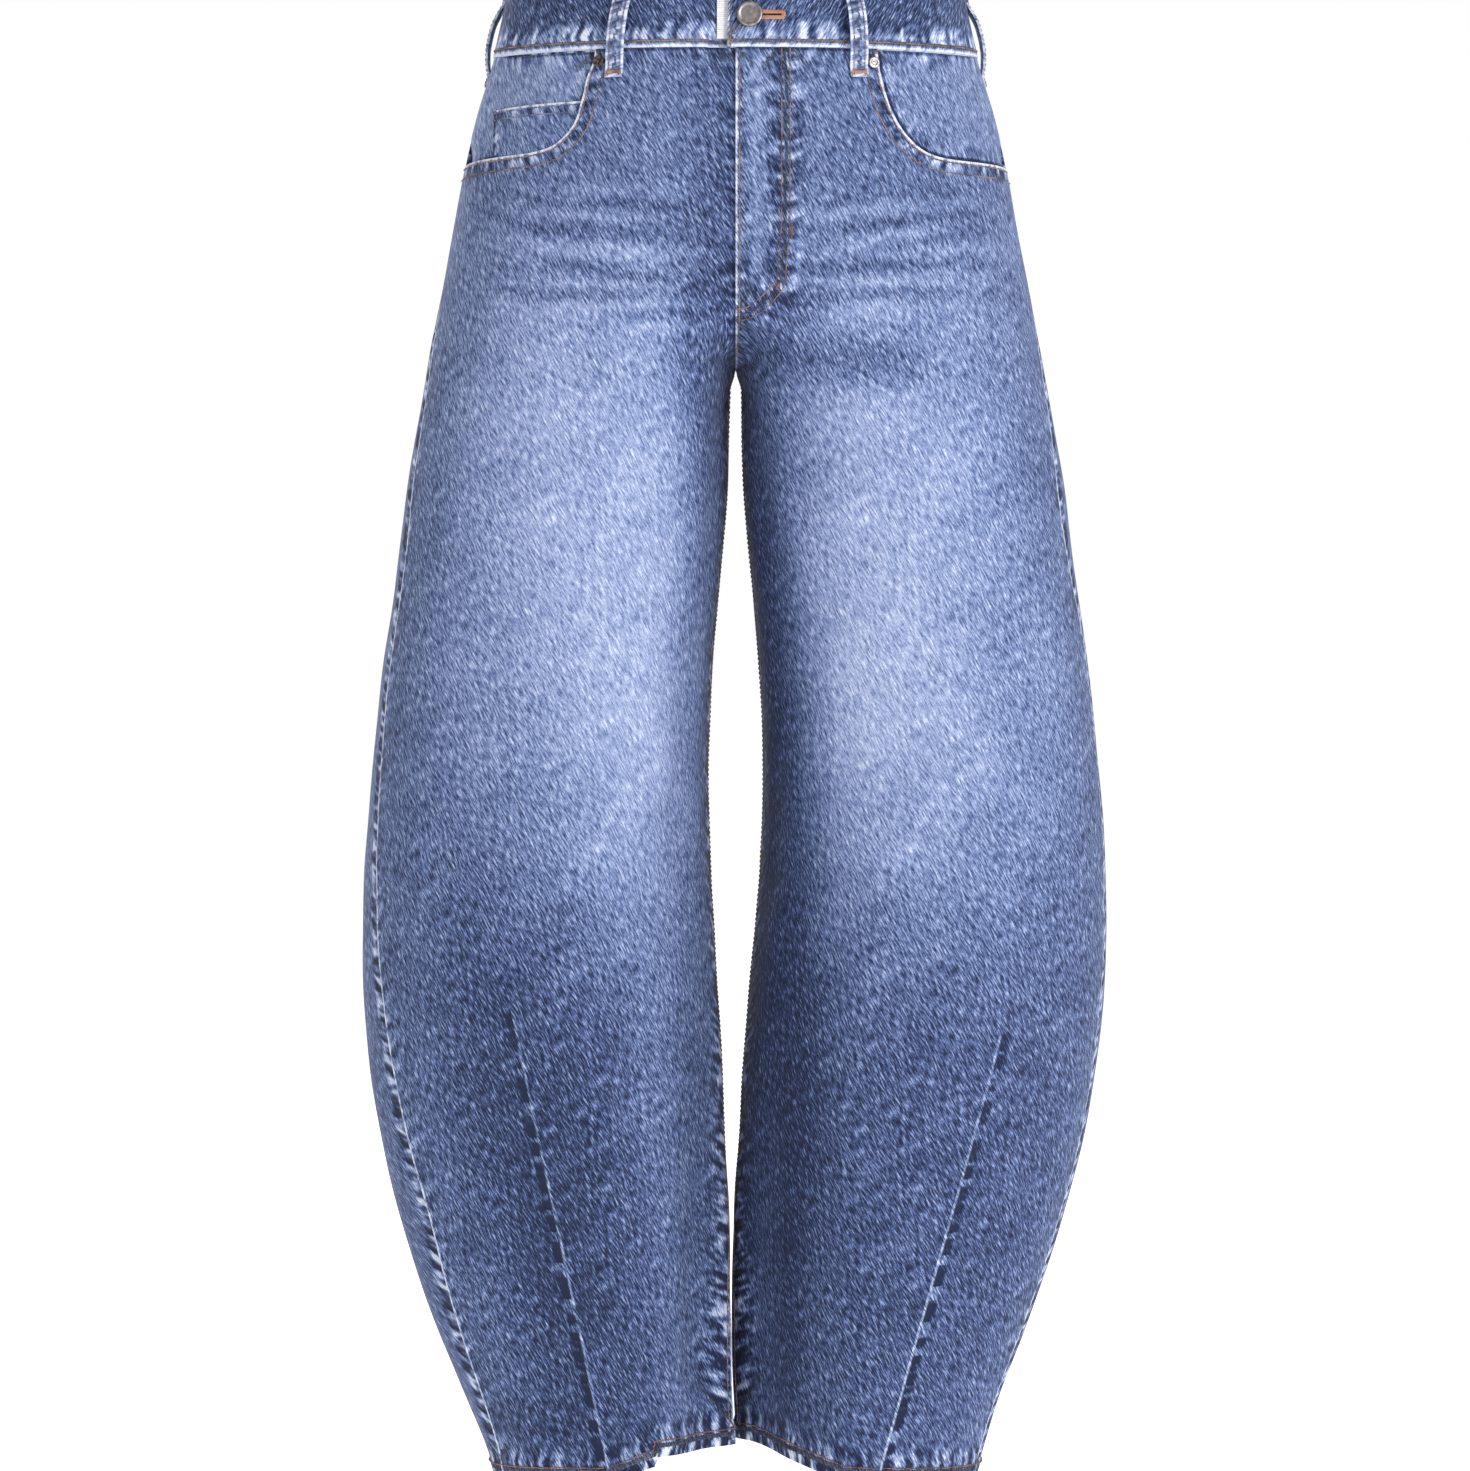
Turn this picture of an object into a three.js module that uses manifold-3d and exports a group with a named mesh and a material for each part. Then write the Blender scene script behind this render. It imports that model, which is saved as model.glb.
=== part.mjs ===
// Barrel leg trousers in blue denim, filled out as when worn, with nobody in them.
// Millimetres, +Z up, the front faces -Y and the wearer's left is +X. The origin is the middle of the
// waist opening, level with the top edge of the waistband at the centre front.
import * as THREE from "three";
import { mergeVertices } from "three/addons/utils/BufferGeometryUtils.js";
import Module from "manifold-3d";

const wasm = await Module();
wasm.setup();

// Cloth and seams
const DENIM = 1.5; // wall of one layer of heavy denim with its nap
const SEAM_GAP = 0.3; // clear space between pieces that are sewn together
const BAND_HEIGHT = 42;
const BAND_WALL = 3;
const BAND_PROUD = 0.8; // how far the waistband stands out from the panels below it
const HEM_HEIGHT = 13;
const HEM_EXTRA = 0.8; // the turned hem is this much thicker on each face

// Rise and leg
const WAIST_RISE = 18; // how much higher the waist sits at the centre back than at the centre front
const CROTCH = -243;
const FRONT_CURVE = 50; // height over which the centre front seam turns under to the crotch
const BACK_CURVE = 115; // the same for the seat seam
const CROTCH_FADE = 70; // the turn away from the seam ends this far below the crotch
const LEG_GAP = 3.6; // from the centre plane to each inseam just below the crotch
const LEG_GAP_HEIGHT = 10; // height over which that gap opens
const HEM_INSEAM = -953; // height of the hem at the inseam
const HEM_DROP = 22; // how much lower the hem hangs at the outseam
const HEM_BLEND = -880; // the rows below this height slide to meet the hem line

// Fly
const FLY_BOTTOM = -205; // the fly's overlap has closed to a seam here
const FLY_UNDERLAP = 6; // how far the right front runs on behind the left front
const FLY_PROUD = 0.5; // the left front's edge stands out this far over the right front
const FLY_STEP = 2.2; // and the right front goes back this far behind it
const FACING_FROM = 8; // the fly facing, behind the left front, from the centre
const FACING_TO = 34;
const FACING_WALL = 1.2;
const SHIELD_FROM = -14; // the fly shield, behind everything, from the centre
const SHIELD_BACK = 4.4; // its outer face lies this far behind the cloth's form

// Front pockets
const MOUTH_END = -110; // height at which the pocket mouth meets the outseam
const POCKET_RECESS = 0.7; // the facing lies this far behind the front panel
const COIN_WALL = 1.2;
const FACING_TUCK = 16; // how far the facing runs on below the pocket mouth
const COIN_TOP = -75;
const COIN_LEFT = -160; // the coin pocket's edges in the front view
const COIN_RIGHT = -97;

// Back pockets
const POCKET_TOP = -112; // at its nearer upper corner
const POCKET_LEAN = 12; // how much higher its outer edge is
const POCKET_HEIGHT = 124;
const POCKET_POINT = 20; // how much lower the middle of its foot is
const POCKET_WIDTH = 140;
const POCKET_FOOT_WIDTH = 118;
const POCKET_MIDDLE = 100; // from the centre back to its middle, seen from behind
const POCKET_STANDOFF = 0.7;

// Belt loops
const LOOP_WIDTH = 12;
const LOOP_WALL = 1.8;
const LOOP_LENGTH = 61;
const LOOP_BOW = 5.2; // how far the middle of a loop stands off the waistband

// Waistband ends at the centre front
const BAND_END = -5; // the overlapping end, in the front view
const BAND_UNDERLAP = 31;
const BAND_BACK = 4.2; // the underlapping end goes back this far

// Hardware
const BUTTON_RADIUS = 8.5;
const BUTTON_X = 9;
const BUTTON_Z = -21;
const HOLE_END = 30; // the outer end of the buttonhole
const HOLE_WIDTH = 2;
const SHANK_RADIUS = 3.2;
const RIVET_RADIUS = 3.9;

// Blank tab that shows beside the waistband's overlapping end
const TAB_LEFT = -12;
const TAB_RIGHT = 3;
const TAB_TOP = -7;
const TAB_BOTTOM = -36;
const TAB_WALL = 1;

// Hip and leg sections from the top down: height, half width at the outseam, extra gap at the inseam,
// depth forward and back, how square the outer side is, and the sideways sway of the hanging legs.
const SECTIONS = [
  { z: 30, out: 148, inn: 0, front: 88, back: 90, square: 2.05, sway: 0 },
  { z: 0, out: 152.5, inn: 0, front: 92, back: 93, square: 2.05, sway: 0 },
  { z: -42, out: 162, inn: 0, front: 98, back: 104, square: 2.1, sway: 0 },
  { z: -75, out: 172, inn: 0, front: 103, back: 114, square: 2.1, sway: 0 },
  { z: -115, out: 181, inn: 0, front: 107, back: 123, square: 2.15, sway: 0 },
  { z: -155, out: 188.3, inn: 0, front: 110, back: 129, square: 2.2, sway: 0 },
  { z: -195, out: 195.5, inn: 0, front: 112, back: 130, square: 2.2, sway: 0 },
  { z: -243, out: 204.5, inn: 0, front: 112, back: 123, square: 2.2, sway: 0 },
  { z: -315, out: 216.8, inn: 1.4, front: 111, back: 112, square: 2.2, sway: 0 },
  { z: -355, out: 222, inn: 4.4, front: 111, back: 107, square: 2.2, sway: 0 },
  { z: -395, out: 227.2, inn: 8, front: 112, back: 104, square: 2.2, sway: 0 },
  { z: -435, out: 233, inn: 11.6, front: 114, back: 102, square: 2.2, sway: 0 },
  { z: -475, out: 237.6, inn: 13.8, front: 116, back: 102, square: 2.2, sway: 0 },
  { z: -515, out: 241.4, inn: 14.4, front: 118, back: 103, square: 2.2, sway: 0 },
  { z: -555, out: 244.4, inn: 13.6, front: 119, back: 104, square: 2.2, sway: 0 },
  { z: -595, out: 246.4, inn: 11.2, front: 119, back: 105, square: 2.2, sway: -0.5 },
  { z: -635, out: 246.4, inn: 8.2, front: 117, back: 105, square: 2.2, sway: -1 },
  { z: -675, out: 244, inn: 5.4, front: 114, back: 104, square: 2.2, sway: -1.5 },
  { z: -715, out: 239.6, inn: 2.6, front: 109, back: 102, square: 2.2, sway: -2 },
  { z: -755, out: 232.2, inn: 0.6, front: 104, back: 99, square: 2.2, sway: -2.4 },
  { z: -795, out: 222.4, inn: -2.1, front: 97, back: 95, square: 2.2, sway: -2.7 },
  { z: -835, out: 210.6, inn: -3.2, front: 90, back: 90, square: 2.2, sway: -3 },
  { z: -875, out: 196.2, inn: -3.5, front: 83, back: 84, square: 2.2, sway: -3 },
  { z: -915, out: 180.2, inn: -3.5, front: 77, back: 78, square: 2.2, sway: -2.2 },
  { z: -955, out: 165.6, inn: -3.5, front: 73, back: 73, square: 2.2, sway: -0.4 },
  { z: -990, out: 155, inn: -3.5, front: 71, back: 70, square: 2.2, sway: 0 },
];

// What differs between the two legs: where across the leg the front stands furthest forward, how full
// the cloth is between that crest and the inseam, how far the outseam has turned to the front (as a share
// of the way round the front), and how far the inseam lies behind the side plane.
const LEFT_ROWS = [
  { z: 30, crest: 0.1, full: 2.05, turn: 0, inseam: -12 },
  { z: -75, crest: 0.16, full: 2.05, turn: 0, inseam: -12 },
  { z: -155, crest: 0.3, full: 2.1, turn: 0.01, inseam: -12 },
  { z: -243, crest: 0.47, full: 2.2, turn: 0.08, inseam: -12 },
  { z: -335, crest: 0.5, full: 2.2, turn: 0.12, inseam: -4 },
  { z: -435, crest: 0.5, full: 2.1, turn: 0.07, inseam: 0 },
  { z: -555, crest: 0.5, full: 2.05, turn: 0.075, inseam: 2 },
  { z: -675, crest: 0.49, full: 1.9, turn: 0.09, inseam: 4 },
  { z: -795, crest: 0.47, full: 1.6, turn: 0.095, inseam: 8 },
  { z: -875, crest: 0.45, full: 1.38, turn: 0.1, inseam: 11 },
  { z: -990, crest: 0.43, full: 1.2, turn: 0.1, inseam: 12 },
];
const RIGHT_ROWS = [
  { z: 30, crest: 0.1, full: 2.05, turn: 0, inseam: -12 },
  { z: -75, crest: 0.16, full: 2.05, turn: 0, inseam: -12 },
  { z: -155, crest: 0.3, full: 2.1, turn: 0.02, inseam: -12 },
  { z: -243, crest: 0.46, full: 2.2, turn: 0.09, inseam: -12 },
  { z: -375, crest: 0.46, full: 2.15, turn: 0.117, inseam: -4 },
  { z: -475, crest: 0.44, full: 2.05, turn: 0.115, inseam: -2 },
  { z: -565, crest: 0.42, full: 1.95, turn: 0.135, inseam: -4 },
  { z: -675, crest: 0.4, full: 1.75, turn: 0.17, inseam: -7 },
  { z: -795, crest: 0.36, full: 1.45, turn: 0.196, inseam: -11 },
  { z: -875, crest: 0.34, full: 1.25, turn: 0.18, inseam: -14 },
  { z: -935, crest: 0.33, full: 1.15, turn: 0.155, inseam: -16 },
  { z: -990, crest: 0.32, full: 1.12, turn: 0.12, inseam: -16 },
];

// The two sides. hemFrom and hemTo say where round the front the hem goes down from the inseam level.
const LEFT = { name: "left", sign: 1, rows: LEFT_ROWS, hemFrom: 0.1, hemTo: 0.58 };
const RIGHT = { name: "right", sign: -1, rows: RIGHT_ROWS, hemFrom: 0.44, hemTo: 0.6 };

// The largest folds: place round the section (0 inseam, 1 outseam, 2 inseam again), height, half width
// round the section, half height, outward height (below 0 is a trough), and lean per 100 mm of height.
const FOLDS = [
  { side: RIGHT, at: 0.62, z: -860, wide: 0.05, tall: 110, out: -4, lean: 0.02 },
  { side: RIGHT, at: 0.2, z: -890, wide: 0.1, tall: 150, out: -7, lean: 0 },
  { side: LEFT, at: 0.16, z: -890, wide: 0.1, tall: 130, out: -6, lean: 0 },
  { side: LEFT, at: 0.36, z: -700, wide: 0.08, tall: 150, out: 4, lean: 0.01 },
  { side: LEFT, at: 1.62, z: -300, wide: 0.12, tall: 26, out: -5, lean: 0.12 },
  { side: RIGHT, at: 1.62, z: -300, wide: 0.12, tall: 26, out: -5, lean: 0.12 },
  { side: LEFT, at: 1.5, z: -560, wide: 0.2, tall: 30, out: -5, lean: 0.1 },
  { side: RIGHT, at: 1.46, z: -575, wide: 0.2, tall: 30, out: -5, lean: -0.1 },
  { side: LEFT, at: 1.42, z: -860, wide: 0.09, tall: 140, out: -5, lean: 0.02 },
  { side: RIGHT, at: 1.55, z: -850, wide: 0.09, tall: 140, out: -5, lean: -0.02 },
];

// Shin darts on the fronts, from the point near the knee down to the hem, in the front view.
const DARTS = [
  { side: LEFT, topX: 170, topZ: -675, hemX: 96, ridge: 1.2, half: 6 },
  { side: RIGHT, topX: -143, topZ: -660, hemX: -84, ridge: 1.2, half: 6 },
];

const clamp = THREE.MathUtils.clamp;
const lerp = THREE.MathUtils.lerp;
const smooth = (value, from, to) => THREE.MathUtils.smoothstep(value, from, to);

// One column of a table at a height, on a smooth curve through its rows.
function along(rows, z, column) {
  const last = rows.length - 1;
  let i = 0;
  while (i < last - 1 && z < rows[i + 1].z) i += 1;
  const slope = (k) => {
    const a = rows[Math.max(k - 1, 0)];
    const b = rows[Math.min(k + 1, last)];
    return (b[column] - a[column]) / (b.z - a.z);
  };
  const step = rows[i + 1].z - rows[i].z;
  const t = clamp((z - rows[i].z) / step, 0, 1);
  const rise = rows[i + 1][column] - rows[i][column];
  const start = slope(i) * step;
  const end = slope(i + 1) * step;
  return rows[i][column] + t * (start + t * (3 * rise - 2 * start - end + t * (start + end - 2 * rise)));
}

// A quarter turn of a rounded corner: how far along and how far across at a share of the turn.
function quarter(share, power) {
  const angle = (clamp(share, 0, 1) * Math.PI) / 2;
  return [Math.cos(angle) ** (2 / power), Math.sin(angle) ** (2 / power)];
}

// How far the cloth has turned from the body's section to the leg's at a height, from 0 to 1. At the
// crotch seam it turns under in a round curve, and away from the seam it turns more gently.
function turnedUnder(z, height, place) {
  const t = clamp((CROTCH + height - z) / height, 0, 1);
  const seam = 1 - Math.sqrt(1 - t * t);
  const away = smooth(CROTCH + height * 1.1 - z, 0, height * 1.1 + CROTCH_FADE);
  return lerp(seam, away, smooth(place, 0, 0.24));
}

// The plain form of one half of the trousers, before folds. round runs 0 at the centre front or inseam,
// 1 at the outermost line, 2 at the centre back or inseam. Below 0 it crosses the centre front.
function formPoint(side, round, z) {
  const section = (column) => along(SECTIONS, z, column);
  const leg = (column) => along(side.rows, z, column);
  const outer = section("out");
  const isFront = round < 1;
  const place = isFront ? Math.abs(round) : 2 - round;
  const opened = smooth(CROTCH - z, 0, LEG_GAP_HEIGHT + 160 * Math.max(place, 0));
  const middle = 0.2 + section("inn");
  const inner = middle + LEG_GAP * opened;
  const depth = isFront ? -section("front") : section("back");
  const crestShare = isFront ? leg("crest") : lerp(leg("crest"), 0.5, smooth(-z, 0, 243));
  const crest = middle + crestShare * (outer - middle);
  const under = turnedUnder(z, isFront ? FRONT_CURVE : BACK_CURVE, place);
  let x;
  let y;
  if (place > 0.5) {
    const [toward, away] = quarter(2 * (1 - place), section("square"));
    x = crest + (outer - crest) * toward;
    y = depth * away;
  } else {
    const [toward, away] = quarter(2 * place, isFront ? leg("full") : 2.2);
    const legX = crest - (crest - inner) * toward;
    const legY = leg("inseam") + (depth - leg("inseam")) * away;
    const bodyX = lerp(0.2, crest, 2 * place);
    x = lerp(bodyX, legX, under);
    y = lerp(depth, legY, under);
  }
  const across = round < 0 ? -x : x;
  return new THREE.Vector3(side.sign * across + section("sway"), y, z);
}

// The outward direction of a surface given as a function of the way round and the height. Where the
// crotch seam has turned under it is taken just inside the seam.
function outward(surface, side, round, z) {
  const step = 0.004;
  const rise = 0.8;
  const low = z < CROTCH + FRONT_CURVE ? 0.012 : -1;
  const high = z < CROTCH + BACK_CURVE ? 1.988 : 3;
  const here = clamp(round, low, high);
  const tangent = surface(side, here + step, z).sub(surface(side, here - step, z));
  const upright = surface(side, here, z + rise).sub(surface(side, here, z - rise));
  return tangent.cross(upright).normalize().multiplyScalar(side.sign);
}

// How far the folds push the cloth out at a point.
function foldHeight(side, round, z) {
  let height = 0;
  for (const fold of FOLDS) {
    if (fold.side !== side) continue;
    const across = (round - fold.at - (fold.lean * (fold.z - z)) / 100) / fold.wide;
    const up = (z - fold.z) / fold.tall;
    height += fold.out * Math.exp(-across * across - up * up);
  }
  return height;
}

// The cloth's outer face with its folds.
function clothPoint(side, round, z) {
  const height = foldHeight(side, round, z);
  const point = formPoint(side, round, z);
  return point.addScaledVector(outward(formPoint, side, round, z), height);
}

// A point at a distance out from the cloth's outer face.
function lifted(side, round, z, lift) {
  return clothPoint(side, round, z).addScaledVector(outward(clothPoint, side, round, z), lift);
}

// The way round at which the front of a side has a given x in the front view.
function roundAtX(side, x, z) {
  let low = -0.6;
  let high = 1;
  for (let i = 0; i < 24; i += 1) {
    const middle = (low + high) / 2;
    if (side.sign * formPoint(side, middle, z).x < side.sign * x) low = middle;
    else high = middle;
  }
  return (low + high) / 2;
}

// The same on the back, at a distance from the centre plane.
function roundAtBackX(side, x, z) {
  let low = 1;
  let high = 2;
  for (let i = 0; i < 24; i += 1) {
    const middle = (low + high) / 2;
    if (side.sign * formPoint(side, middle, z).x > x) low = middle;
    else high = middle;
  }
  return (low + high) / 2;
}

// The way round at a distance along the cloth from a start, at one height.
function roundAfter(side, start, distance, z) {
  const step = 0.005 * Math.sign(distance);
  let round = start;
  let left = Math.abs(distance);
  let here = formPoint(side, round, z);
  while (left > 0) {
    const next = formPoint(side, round + step, z);
    const length = here.distanceTo(next);
    if (length >= left) return round + (step * left) / length;
    left -= length;
    round += step;
    here = next;
  }
  return round;
}

// The cloth's length between two places, at one height.
function clothLength(side, from, to, z) {
  const steps = 60;
  let length = 0;
  let here = formPoint(side, from, z);
  for (let k = 1; k <= steps; k += 1) {
    const next = formPoint(side, lerp(from, to, k / steps), z);
    length += here.distanceTo(next);
    here = next;
  }
  return length;
}

// The way round at a share of the cloth's length between two places, at one height.
function roundBetween(side, from, to, share, z) {
  if (share <= 0) return from;
  if (share >= 1) return to;
  const steps = 60;
  const lengths = [0];
  let here = formPoint(side, from, z);
  for (let k = 1; k <= steps; k += 1) {
    const next = formPoint(side, lerp(from, to, k / steps), z);
    lengths.push(lengths[k - 1] + here.distanceTo(next));
    here = next;
  }
  const wanted = share * lengths[steps];
  let k = 1;
  while (lengths[k] < wanted) k += 1;
  const part = (wanted - lengths[k - 1]) / (lengths[k] - lengths[k - 1]);
  return lerp(from, to, (k - 1 + part) / steps);
}

// Waistline: how much higher it sits than at the centre front.
function waistRise(round) {
  const front = formPoint(LEFT, 0, -21).y;
  const back = formPoint(LEFT, 2, -21).y;
  return WAIST_RISE * clamp((formPoint(LEFT, round, -21).y - front) / (back - front), 0, 1) ** 1.3;
}
const waistSeam = (round) => waistRise(round) - BAND_HEIGHT - 0.45;
const outseam = (side, z) => 1 - along(side.rows, z, "turn");
const yokeSeam = (round) => lerp(-66, -96, smooth(round, 1, 2));

// Hem line of a leg.
function hemLine(side, round) {
  const place = round < 1 ? round : 2 - round;
  const from = round < 1 ? side.hemFrom : 0.15;
  const to = round < 1 ? side.hemTo : 0.7;
  return HEM_INSEAM - HEM_DROP * (0.8 * smooth(place, from, to) + 0.2 * smooth(place, 0.5, 1));
}

// A closed wall from a grid of points: point(row, column, face) with face 0 outside and 1 inside.
// flip says that columns run clockwise as seen from outside.
function wall(rows, columns, point, flip) {
  const positions = [];
  const indices = [];
  const count = (rows + 1) * (columns + 1);
  for (const face of [0, 1]) {
    for (let i = 0; i <= rows; i += 1) {
      for (let j = 0; j <= columns; j += 1) positions.push(...point(i, j, face).toArray());
    }
  }
  const at = (i, j, face) => face * count + i * (columns + 1) + j;
  const quad = (a, b, c, d) => {
    if (flip) indices.push(a, c, b, a, d, c);
    else indices.push(a, b, c, a, c, d);
  };
  for (let i = 0; i < rows; i += 1) {
    for (let j = 0; j < columns; j += 1) {
      quad(at(i, j, 0), at(i + 1, j, 0), at(i + 1, j + 1, 0), at(i, j + 1, 0));
      quad(at(i, j, 1), at(i, j + 1, 1), at(i + 1, j + 1, 1), at(i + 1, j, 1));
    }
    quad(at(i, 0, 0), at(i, 0, 1), at(i + 1, 0, 1), at(i + 1, 0, 0));
    quad(at(i, columns, 0), at(i + 1, columns, 0), at(i + 1, columns, 1), at(i, columns, 1));
  }
  for (let j = 0; j < columns; j += 1) {
    quad(at(0, j, 0), at(0, j + 1, 0), at(0, j + 1, 1), at(0, j, 1));
    quad(at(rows, j, 0), at(rows, j, 1), at(rows, j + 1, 1), at(rows, j + 1, 0));
  }
  const geometry = new THREE.BufferGeometry();
  geometry.setAttribute("position", new THREE.Float32BufferAttribute(positions, 3));
  geometry.setIndex(indices);
  return geometry;
}

// A solid for joining and cutting, and back again.
function solidOf(geometry) {
  const plain = geometry.clone();
  plain.deleteAttribute("normal");
  plain.deleteAttribute("uv");
  const merged = mergeVertices(plain, 1e-4);
  const vertProperties = new Float32Array(merged.attributes.position.array);
  const triVerts = new Uint32Array(merged.index.array);
  return new wasm.Manifold(new wasm.Mesh({ numProp: 3, vertProperties, triVerts }));
}
function geometryOf(solid) {
  const mesh = solid.getMesh();
  const positions = [];
  for (let i = 0; i < mesh.numVert; i += 1) {
    positions.push(...mesh.vertProperties.slice(i * mesh.numProp, i * mesh.numProp + 3));
  }
  const geometry = new THREE.BufferGeometry();
  geometry.setAttribute("position", new THREE.Float32BufferAttribute(positions, 3));
  geometry.setIndex([...mesh.triVerts]);
  return geometry;
}

// Heights of the rows of a leg panel: even on the hip, close together where the crotch seam turns
// under, and even again down the leg.
function legRows() {
  const rows = [-42, -66, -90, -114, -138, -166, CROTCH + FRONT_CURVE];
  for (const share of [0.3, 0.55, 0.78, 0.92, 1]) rows.push(CROTCH + FRONT_CURVE * (1 - share));
  rows.push(CROTCH - LEG_GAP_HEIGHT, CROTCH - 24, CROTCH - 44);
  const legTop = CROTCH - 44;
  const legSteps = 15;
  for (let k = 1; k <= legSteps; k += 1) rows.push(lerp(legTop, HEM_BLEND, k / legSteps));
  rows.push(-905, -925, HEM_INSEAM + HEM_HEIGHT + 2, HEM_INSEAM + HEM_HEIGHT, HEM_INSEAM);
  return rows;
}
const LEG_ROWS = legRows();
const HIP_BLEND = -120; // the rows above this height slide to meet the waist or yoke seam

// A row's height at a place round the panel, slid to meet the top edge and the hem line.
function rowHeight(nominal, top, hem) {
  if (nominal > HIP_BLEND) return lerp(HIP_BLEND, top, (nominal - HIP_BLEND) / (LEG_ROWS[0] - HIP_BLEND));
  if (nominal > HEM_BLEND) return nominal;
  const slide = smooth(HEM_BLEND - nominal, 0, HEM_BLEND - HEM_INSEAM - HEM_HEIGHT - 2);
  return nominal + (hem - HEM_INSEAM) * slide;
}

// The extra thickness of the turned hem.
const hemLift = (z, hem) => (z < hem + HEM_HEIGHT + 1 ? HEM_EXTRA : 0);

// Shares of the fly's overlap and of its step at a height: 1 beside the zip, 0 at its lower end.
const flyOverlap = (z) => smooth(z, FLY_BOTTOM, FLY_BOTTOM + 14);
const flyStep = (z) => smooth(z, FLY_BOTTOM - 16, FLY_BOTTOM - 4);

// The way round at which a side's dart lies. Above its point the same column runs on up the leg, at
// the same share of the front's width.
function dartRound(side, z) {
  const dart = DARTS.find((entry) => entry.side === side);
  const down = clamp((dart.topZ - z) / (dart.topZ - HEM_INSEAM), 0, 1);
  if (down > 0) return roundAtX(side, lerp(dart.topX, dart.hemX, down), z);
  const atTop = roundAtX(side, dart.topX, dart.topZ);
  const width = clothLength(side, 0, outseam(side, dart.topZ), dart.topZ);
  const share = clothLength(side, 0, atTop, dart.topZ) / width;
  return roundBetween(side, 0, outseam(side, z), share, z);
}

// The ridge along a dart's seam, none above its point.
function dartRidge(side, z) {
  const dart = DARTS.find((entry) => entry.side === side);
  return dart.ridge * smooth(dart.topZ - z, 0, 40);
}

// An edge point at the centre front, centre back or inseam, set square on the plane of its seam.
function seated(point, side, round, z) {
  if (z > CROTCH - 0.01) point.x = side.sign * (0.2 + SEAM_GAP / 2);
  if (z < CROTCH + 0.01) point.y = along(side.rows, z, "inseam") + (round < 1 ? -SEAM_GAP : SEAM_GAP) / 2;
  return point;
}

// Columns between two heights round the crotch run evenly from one to the other, so that the turning
// seam doesn't draw them sideways. shareAt(z) is a column's share of the panel's width in rounds.
const SETTLE_TOP = -150;
const SETTLE_FOOT = -300;
function settled(shareAt, z) {
  if (z >= SETTLE_TOP || z <= SETTLE_FOOT) return shareAt(z);
  const down = smooth(-z, -SETTLE_TOP, -SETTLE_FOOT);
  return lerp(shareAt(SETTLE_TOP), shareAt(SETTLE_FOOT), down);
}

// A wall whose points lie on a side's form. Its columns are spread by spread(column, z), and its edges
// are kept clear of the next pieces. heights(row, round) and lifts(round, z, face, column) place them.
function clothWall({ side, rows, columns, spread, heights, lifts }) {
  const place = (i, j) => {
    const first = spread(j, heights(i, spread(j, heights(i, 1))));
    const z = heights(i, first);
    return { round: spread(j, z), z };
  };
  const point = (i, j, face) => {
    const { round, z } = place(i, j);
    const here = lifted(side, round, z, lifts(round, z, face, j));
    if (j > 0 && j < columns) return here;
    if (round === 0 || round === 2) return seated(here, side, round, z);
    const near = place(i, j === 0 ? 1 : columns - 1);
    const inward = formPoint(side, near.round, near.z).sub(formPoint(side, round, z)).normalize();
    return here.addScaledVector(inward, SEAM_GAP / 2);
  };
  return wall(rows, columns, point, side === RIGHT);
}

// One front: from the centre front and inseam to the outseam, waist seam to hem. One column follows
// the dart, and two lie close to the fly edge.
const FRONT_COLUMNS = 18;
const FLY_COLUMNS = [0, 9, 16];
const DART_COLUMN = 12;
function frontSpread(side, j, z) {
  const centre = (level) => (side === LEFT ? 0 : roundAtX(side, FLY_UNDERLAP, level) * flyOverlap(level));
  if (j === 0) return centre(z);
  if (j < FLY_COLUMNS.length) return roundAfter(side, centre(z), FLY_COLUMNS[j], z);
  const last = FLY_COLUMNS.length - 1;
  const shareAt = (level) => {
    const far = outseam(side, level);
    const near = roundAfter(side, centre(level), FLY_COLUMNS[last], level);
    const dart = dartRound(side, level);
    const before = (j - last) / (DART_COLUMN - last);
    const after = (j - DART_COLUMN) / (FRONT_COLUMNS - DART_COLUMN);
    if (j <= DART_COLUMN) return roundBetween(side, near, dart, before, level) / far;
    return roundBetween(side, dart, far, after, level) / far;
  };
  return settled(shareAt, z) * outseam(side, z);
}
function frontPanel(side) {
  const over = side === LEFT;
  return clothWall({
    side,
    rows: LEG_ROWS.length - 1,
    columns: FRONT_COLUMNS,
    spread: (j, z) => frontSpread(side, j, z),
    heights: (i, round) => rowHeight(LEG_ROWS[i], waistSeam(round), hemLine(side, round)),
    lifts: (round, z, face, j) => {
      const x = formPoint(side, round, z).x;
      const step = (over ? FLY_PROUD * smooth(-x, -26, -9) : -FLY_STEP * smooth(x, -11, -4)) * flyStep(z);
      const hem = hemLift(z, hemLine(side, round));
      if (face === 1) return step - DENIM - hem;
      return step + hem + (j === DART_COLUMN ? dartRidge(side, z) : 0);
    },
  });
}

// One back: from the outseam to the seat seam and inseam, yoke seam to hem.
const BACK_COLUMNS = 20;
function backSpread(side, j, z) {
  const shareAt = (level) => {
    const near = outseam(side, level);
    return (roundBetween(side, near, 2, j / BACK_COLUMNS, level) - near) / (2 - near);
  };
  const near = outseam(side, z);
  if (j === BACK_COLUMNS) return 2;
  return near + (2 - near) * settled(shareAt, z);
}
function backPanel(side) {
  return clothWall({
    side,
    rows: LEG_ROWS.length - 1,
    columns: BACK_COLUMNS,
    spread: (j, z) => backSpread(side, j, z),
    heights: (i, round) => rowHeight(LEG_ROWS[i], yokeSeam(round) - SEAM_GAP, hemLine(side, round)),
    lifts: (round, z, face) => {
      const hem = hemLift(z, hemLine(side, round));
      return face === 0 ? hem : -DENIM - hem;
    },
  });
}

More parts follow.
